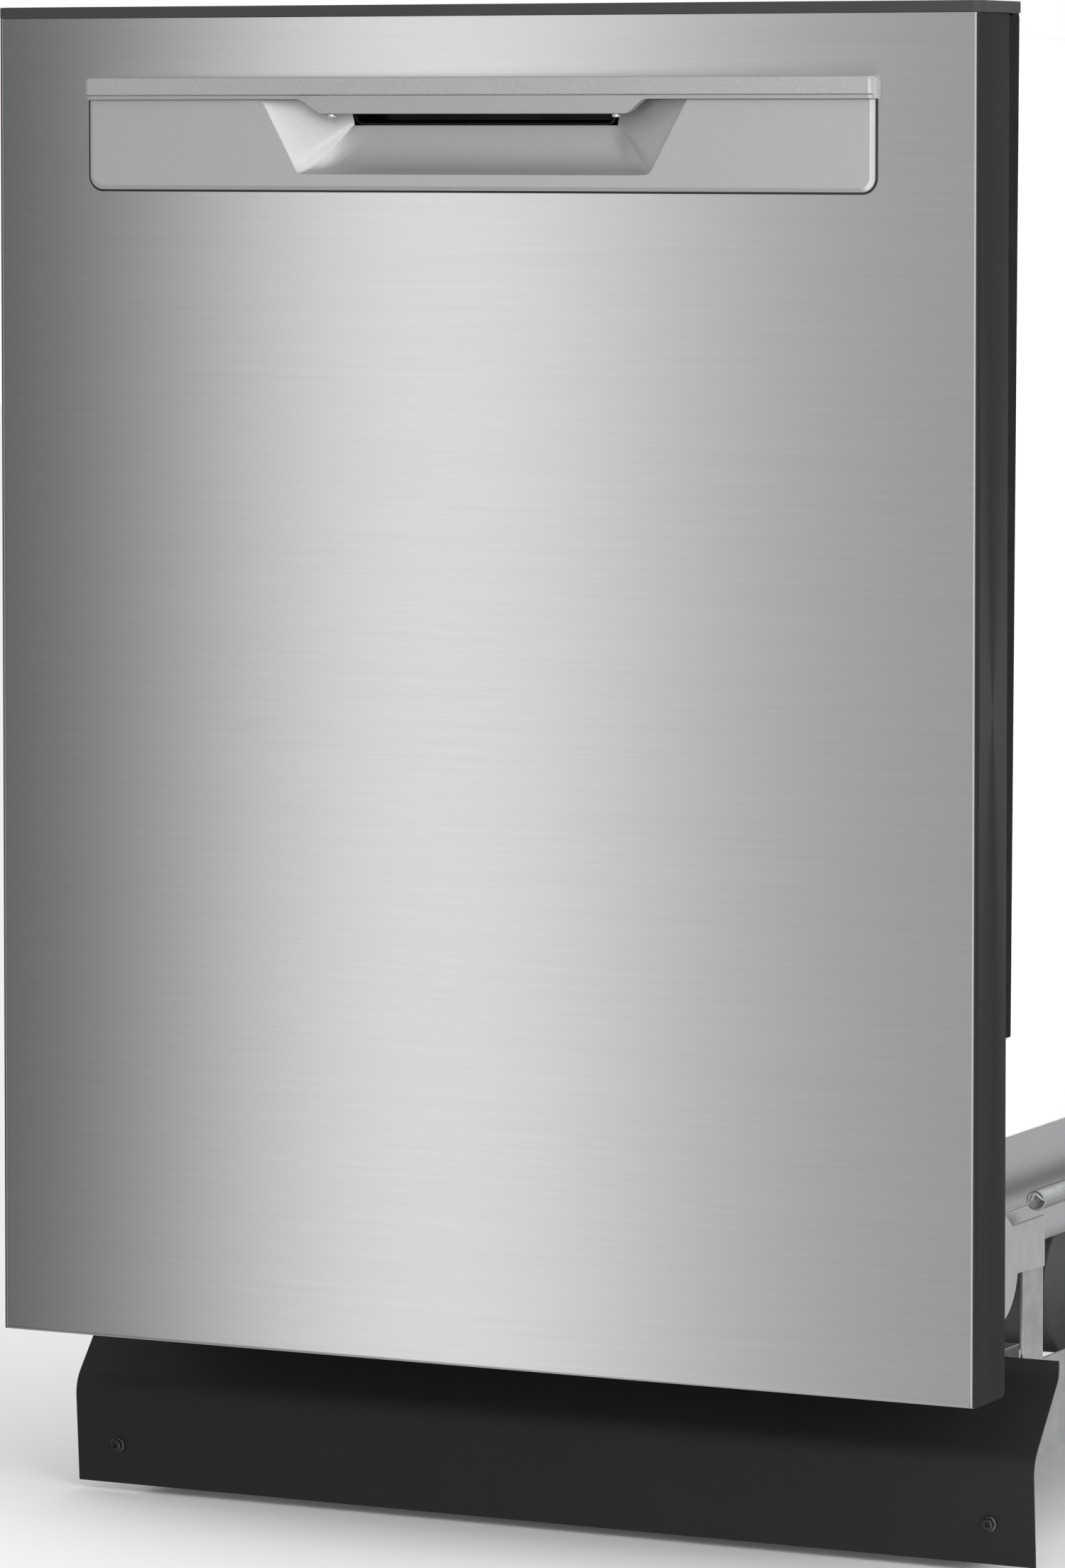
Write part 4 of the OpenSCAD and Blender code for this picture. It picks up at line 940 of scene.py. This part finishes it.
def levelling_leg(node):
    """A round foot with a hex collar and a threaded rod."""
    low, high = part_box(node)
    centre = Vector(((low.x + high.x) / 2, (low.y + high.y) / 2, 0))
    disc = [(0, 0), (15.5, 0), (16.8, 0.8), (17, 2), (16.4, 4.6), (14.5, 6), (0, 6)]
    foot = revolved(disc, centre, (0, 0, 1), 48)
    corners = [(math.cos(math.pi / 3 * k), math.sin(math.pi / 3 * k)) for k in range(6)]
    collar = [
        [centre + Vector((r * MM * c, r * MM * s, z * MM)) for c, s in corners]
        for z, r in ((5.5, 7.9), (13.0, 7.9), (13.9, 7.0))
    ]
    pitch, rod_low, rod_top = 1.5, 13.0, high.z / MM
    steps, sides = round((rod_top - rod_low) / pitch * 6), 18
    rings = []
    for k in range(steps + 1):
        height = rod_low + (rod_top - rod_low) * k / steps
        ring = []
        for s in range(sides):
            phase = (height / pitch - s / sides) % 1
            r = 3.3 + 0.65 * (1 - abs(2 * phase - 1))
            if rod_top - height < 1.5:
                r -= 0.5 * (1.5 - (rod_top - height))
            a = 2 * math.pi * s / sides
            ring.append(centre + Vector((r * MM * math.cos(a), r * MM * math.sin(a), height * MM)))
        rings.append(ring)
    leg = mesh_piece(node + "_screw", merged(foot, lofted(collar), lofted(rings)), node, LEG, [node])
    flat_shading_fix(leg)


# ---------------------------------------------------------------- fibre pads


def fluffed(obj, depth, scale):
    """Moves the surface in soft lumps."""
    for vert in obj.data.vertices:
        lump = noise.noise(vert.co * scale) * 0.7 + noise.noise(vert.co * scale * 3.1) * 0.3
        vert.co += vert.normal * lump * depth * MM


def insulation_blanket():
    """A felt blanket folded over the tub: left side, top and right side, with soft edges."""
    low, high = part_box("insulation_blanket")
    thick = 9.0 * MM
    gap = 1.2 * MM
    corner = 26 * MM
    half, top = high.x - gap, high.z - gap
    foot = low.z + 2 * MM
    line = rounded([(-half, 0, foot), (-half, 0, top), (half, 0, top), (half, 0, foot)], corner, 10)
    fine = []
    for a, b in zip(line, line[1:]):
        fine += [a.lerp(b, t) for t in span(0, 1, max(1, round((b - a).length / (9 * MM))))[:-1]]
    fine.append(line[-1])
    ys = span(low.y + 2 * MM, high.y - 2 * MM, 56)
    verts = [Vector((p.x, y, p.z)) for p in fine for y in ys]
    felt = verts, grid_faces(len(fine), len(ys))
    blanket = mesh_piece("insulation_felt", felt, "insulation_blanket", BLANKET, ["insulation_blanket"])
    fluffed(blanket, 1.1, 26)
    thicken(blanket, thick / MM, 1)
    inward = blanket.modifiers["thickness"]
    inward.offset = -1 if blanket.data.polygons[0].normal.x < 0 else 1
    soften(blanket, 2.4, 3, 50)


def door_pad():
    """The felt pad that fills the door behind its steel front."""
    low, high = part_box("door_insulation")
    inset = Vector((3 * MM, 3 * MM, 3 * MM))
    block = box_shape(low + inset, high - inset)
    pad = mesh_piece("door_felt", block, "door_insulation", PAD, ["door_insulation"])
    built = bmesh.new()
    built.from_mesh(pad.data)
    bmesh.ops.subdivide_edges(built, edges=built.edges, cuts=22, use_grid_fill=True)
    built.to_mesh(pad.data)
    built.free()
    fluffed(pad, 2.2, 30)
    pad.data.polygons.foreach_set("use_smooth", [True] * len(pad.data.polygons))


# ---------------------------------------------------------------- stage, light and camera


def studio():
    """A pale floor, an even white surround and one soft key light; the graded reflector for the steel is
    made apart.
    """
    floor = bpy.data.meshes.new("floor")
    reach = 14.0
    corners = [(-reach, -reach, 0), (reach, -reach, 0), (reach, reach, 0), (-reach, reach, 0)]
    floor.from_pydata(corners, [], [(0, 1, 2, 3)])
    ground = bpy.data.objects.new("floor", floor)
    bpy.context.scene.collection.objects.link(ground)
    pale = Finish("floor_paint", (0.93, 0.93, 0.93), 0.9, 0.0, Specular_IOR_Level=0.0)
    floor.materials.append(pale.mottle(3, 0.01).material)
    ground.visible_glossy = False

    world = bpy.data.worlds.new("studio")
    bpy.context.scene.world = world
    world.use_nodes = True
    tree = world.node_tree
    sky = tree.nodes["Background"]
    sky.inputs["Color"].default_value = (1, 1, 1, 1)
    seen = tree.nodes.new("ShaderNodeBackground")
    seen.inputs["Color"].default_value = (1, 1, 1, 1)
    seen.inputs["Strength"].default_value = 1.0
    place = tree.nodes.new("ShaderNodeTexCoord")
    axes = tree.nodes.new("ShaderNodeSeparateXYZ")
    height = tree.nodes.new("ShaderNodeMapRange")
    for name, value in {"From Min": -0.3, "From Max": 0.5, "To Min": 0.55, "To Max": 0.95}.items():
        height.inputs[name].default_value = value
    path = tree.nodes.new("ShaderNodeLightPath")
    mix = tree.nodes.new("ShaderNodeMixShader")
    links = tree.links
    links.new(place.outputs["Generated"], axes.inputs["Vector"])
    links.new(axes.outputs["Z"], height.inputs["Value"])
    links.new(height.outputs["Result"], sky.inputs["Strength"])
    links.new(path.outputs["Is Camera Ray"], mix.inputs["Fac"])
    links.new(sky.outputs["Background"], mix.inputs[1])
    links.new(seen.outputs["Background"], mix.inputs[2])
    links.new(mix.outputs["Shader"], tree.nodes["World Output"].inputs["Surface"])

    lamp = bpy.data.lights.new("key", "AREA")
    lamp.shape = "RECTANGLE"
    lamp.size, lamp.size_y = 1.5, 1.9
    lamp.energy = 45.0
    key = bpy.data.objects.new("key", lamp)
    bpy.context.scene.collection.objects.link(key)
    key.location = (2.3, -1.9, 1.3)
    key.rotation_euler = (Vector((0, -0.3, 0.6)) - key.location).to_track_quat("-Z", "Y").to_euler()
    key.visible_camera = False
    key.visible_glossy = False


def glow_level(x):
    """The reflector's brightness at x metres: dark, a bell, then a plain bright panel on its right."""
    middle = -0.862
    width = 0.196 if x < middle else 0.231
    ground = 0.057 + 0.358 * ease((x - middle) / 0.3 + 0.5) + 2.3 * ease((x + 0.02) / 0.36)
    return ground + 1.226 * math.exp(-(((x - middle) / width) ** 2))


def reflector():
    """A tall card ahead of the door that only reflections see, as bright as glow_level says across it."""
    left, right, ahead = -2.6, 1.6, STEEL_Y - 1.5
    low, high = -6.5, 8.0
    mesh = bpy.data.meshes.new("reflector")
    corners = [(left, ahead, low), (right, ahead, low), (right, ahead, high), (left, ahead, high)]
    mesh.from_pydata(corners, [], [(0, 1, 2, 3)])
    card = bpy.data.objects.new("reflector", mesh)
    bpy.context.scene.collection.objects.link(card)
    for ray in ("visible_camera", "visible_diffuse", "visible_shadow", "visible_transmission"):
        setattr(card, ray, False)
    material = bpy.data.materials.new("reflector_glow")
    material.use_nodes = True
    tree = material.node_tree
    tree.nodes.clear()
    place = tree.nodes.new("ShaderNodeTexCoord")
    axes = tree.nodes.new("ShaderNodeSeparateXYZ")
    across = tree.nodes.new("ShaderNodeMapRange")
    across.inputs["From Min"].default_value = left
    across.inputs["From Max"].default_value = right
    ramp = tree.nodes.new("ShaderNodeValToRGB")
    ramp.color_ramp.interpolation = "B_SPLINE"
    glow = tree.nodes.new("ShaderNodeEmission")
    peak = 4.0
    glow.inputs["Strength"].default_value = peak
    output = tree.nodes.new("ShaderNodeOutputMaterial")
    band = ramp.color_ramp
    places = span(0.3, 0.7, 24)
    while len(band.elements) < len(places):
        band.elements.new(0.5)
    for element, place_across in zip(band.elements, places):
        level = glow_level(left + (right - left) * place_across) / peak
        element.position = place_across
        element.color = (level, level, level, 1)
    links = tree.links
    links.new(place.outputs["Object"], axes.inputs["Vector"])
    links.new(axes.outputs["X"], across.inputs["Value"])
    links.new(across.outputs["Result"], ramp.inputs["Fac"])
    links.new(ramp.outputs["Color"], glow.inputs["Color"])
    links.new(glow.outputs["Emission"], output.inputs["Surface"])
    mesh.materials.append(material)


def camera():
    """A long lens level with the handle, to the right of the door."""
    turn, tilt = math.radians(25.8), math.radians(3.01)
    place = Vector((1.773, STEEL_Y - 3.592, FOOT_Z + 0.695))
    ahead = Vector((-math.sin(turn) * math.cos(tilt), math.cos(turn) * math.cos(tilt), -math.sin(tilt)))
    lens = bpy.data.cameras.new("camera")
    lens.sensor_width = 36.0
    lens.lens = 165.6
    lens.shift_y = -0.179
    view = bpy.data.objects.new("camera", lens)
    bpy.context.scene.collection.objects.link(view)
    view.location = place
    view.rotation_euler = ahead.to_track_quat("-Z", "Y").to_euler()
    bpy.context.scene.camera = view
    bpy.context.scene.view_settings.view_transform = "Standard"


# ---------------------------------------------------------------- the dishwasher

camera()
studio()
reflector()

door_panel()
handle_fascia()
grip_bar()
finger_slot()
handle_screws()
toe_kick()
kick_screws()
upper_rack()
lower_rack()
silverware_basket()
door_springs()
fill_hose()
insulation_blanket()
door_pad()
for corner in ("front_left", "front_right", "rear_left", "rear_right"):
    levelling_leg("leg_" + corner)
    keep_node("rack_wheel_" + corner, WHITE, 0.6)
for key_name in ("power", "cycle", "options", "start"):
    keep_node(key_name + "_button", KEYS, 0.5, 3)
for hand in ("left", "right"):
    keep_node("hinge_arm_" + hand, ZINC, 0.3)
    keep_node("hinge_bracket_" + hand, ZINC, 0.3)

keep_node("control_console", CONSOLE, 0.7, 3)
keep_node("display_window", GLASS_BLACK, 0.15)
keep_node("control_board", BOARD)
keep_node("door_liner", LINER, 0.8, 3)
keep_node("door_foot_seal", RUBBER, 0.4)
keep_node("dispenser_body", SMOKE, 1.0, 3)
keep_node("dispenser_lid", LID, 0.8, 3)
keep_node("rinse_aid_cap", BLUE, 0.6, 3)
keep_node("door_vent", SMOKE, 0.5)
keep_node("latch_housing", SMOKE, 0.8)
keep_node("tub", TUB_STEEL, 0.4)
keep_node("tub_gasket", RUBBER, 1.5, 3)
keep_node("base_frame", GALVANISED, 0.4)
keep_node("countertop_brackets", ZINC, 0.3)
keep_node("latch_strike", ZINC, 0.4)
keep_node("sump", SUMP, 0.6)
keep_node("filter_plate", SIEVE_STEEL)
keep_node("filter_cylinder", SIEVE_STEEL, 0.6)
keep_node("wash_pump", PUMP, 1.2, 3)
keep_node("wash_impeller", WHITE, 0.4)
keep_node("drain_pump", PUMP, 1.0, 3)
keep_node("drain_impeller", WHITE, 0.4)
keep_node("heating_element", HEATER)
keep_node("float", WHITE, 1.0, 3)
keep_node("inlet_valve", WHITE, 0.8)
keep_node("junction_box", GALVANISED, 0.6)
keep_node("spray_supply", SUMP, 1.0)
keep_node("rail_rollers", WHITE, 0.6)
keep_node("lower_spray_arm", ARM, 2.0, 3)
keep_node("middle_spray_arm", ARM, 1.6, 3)
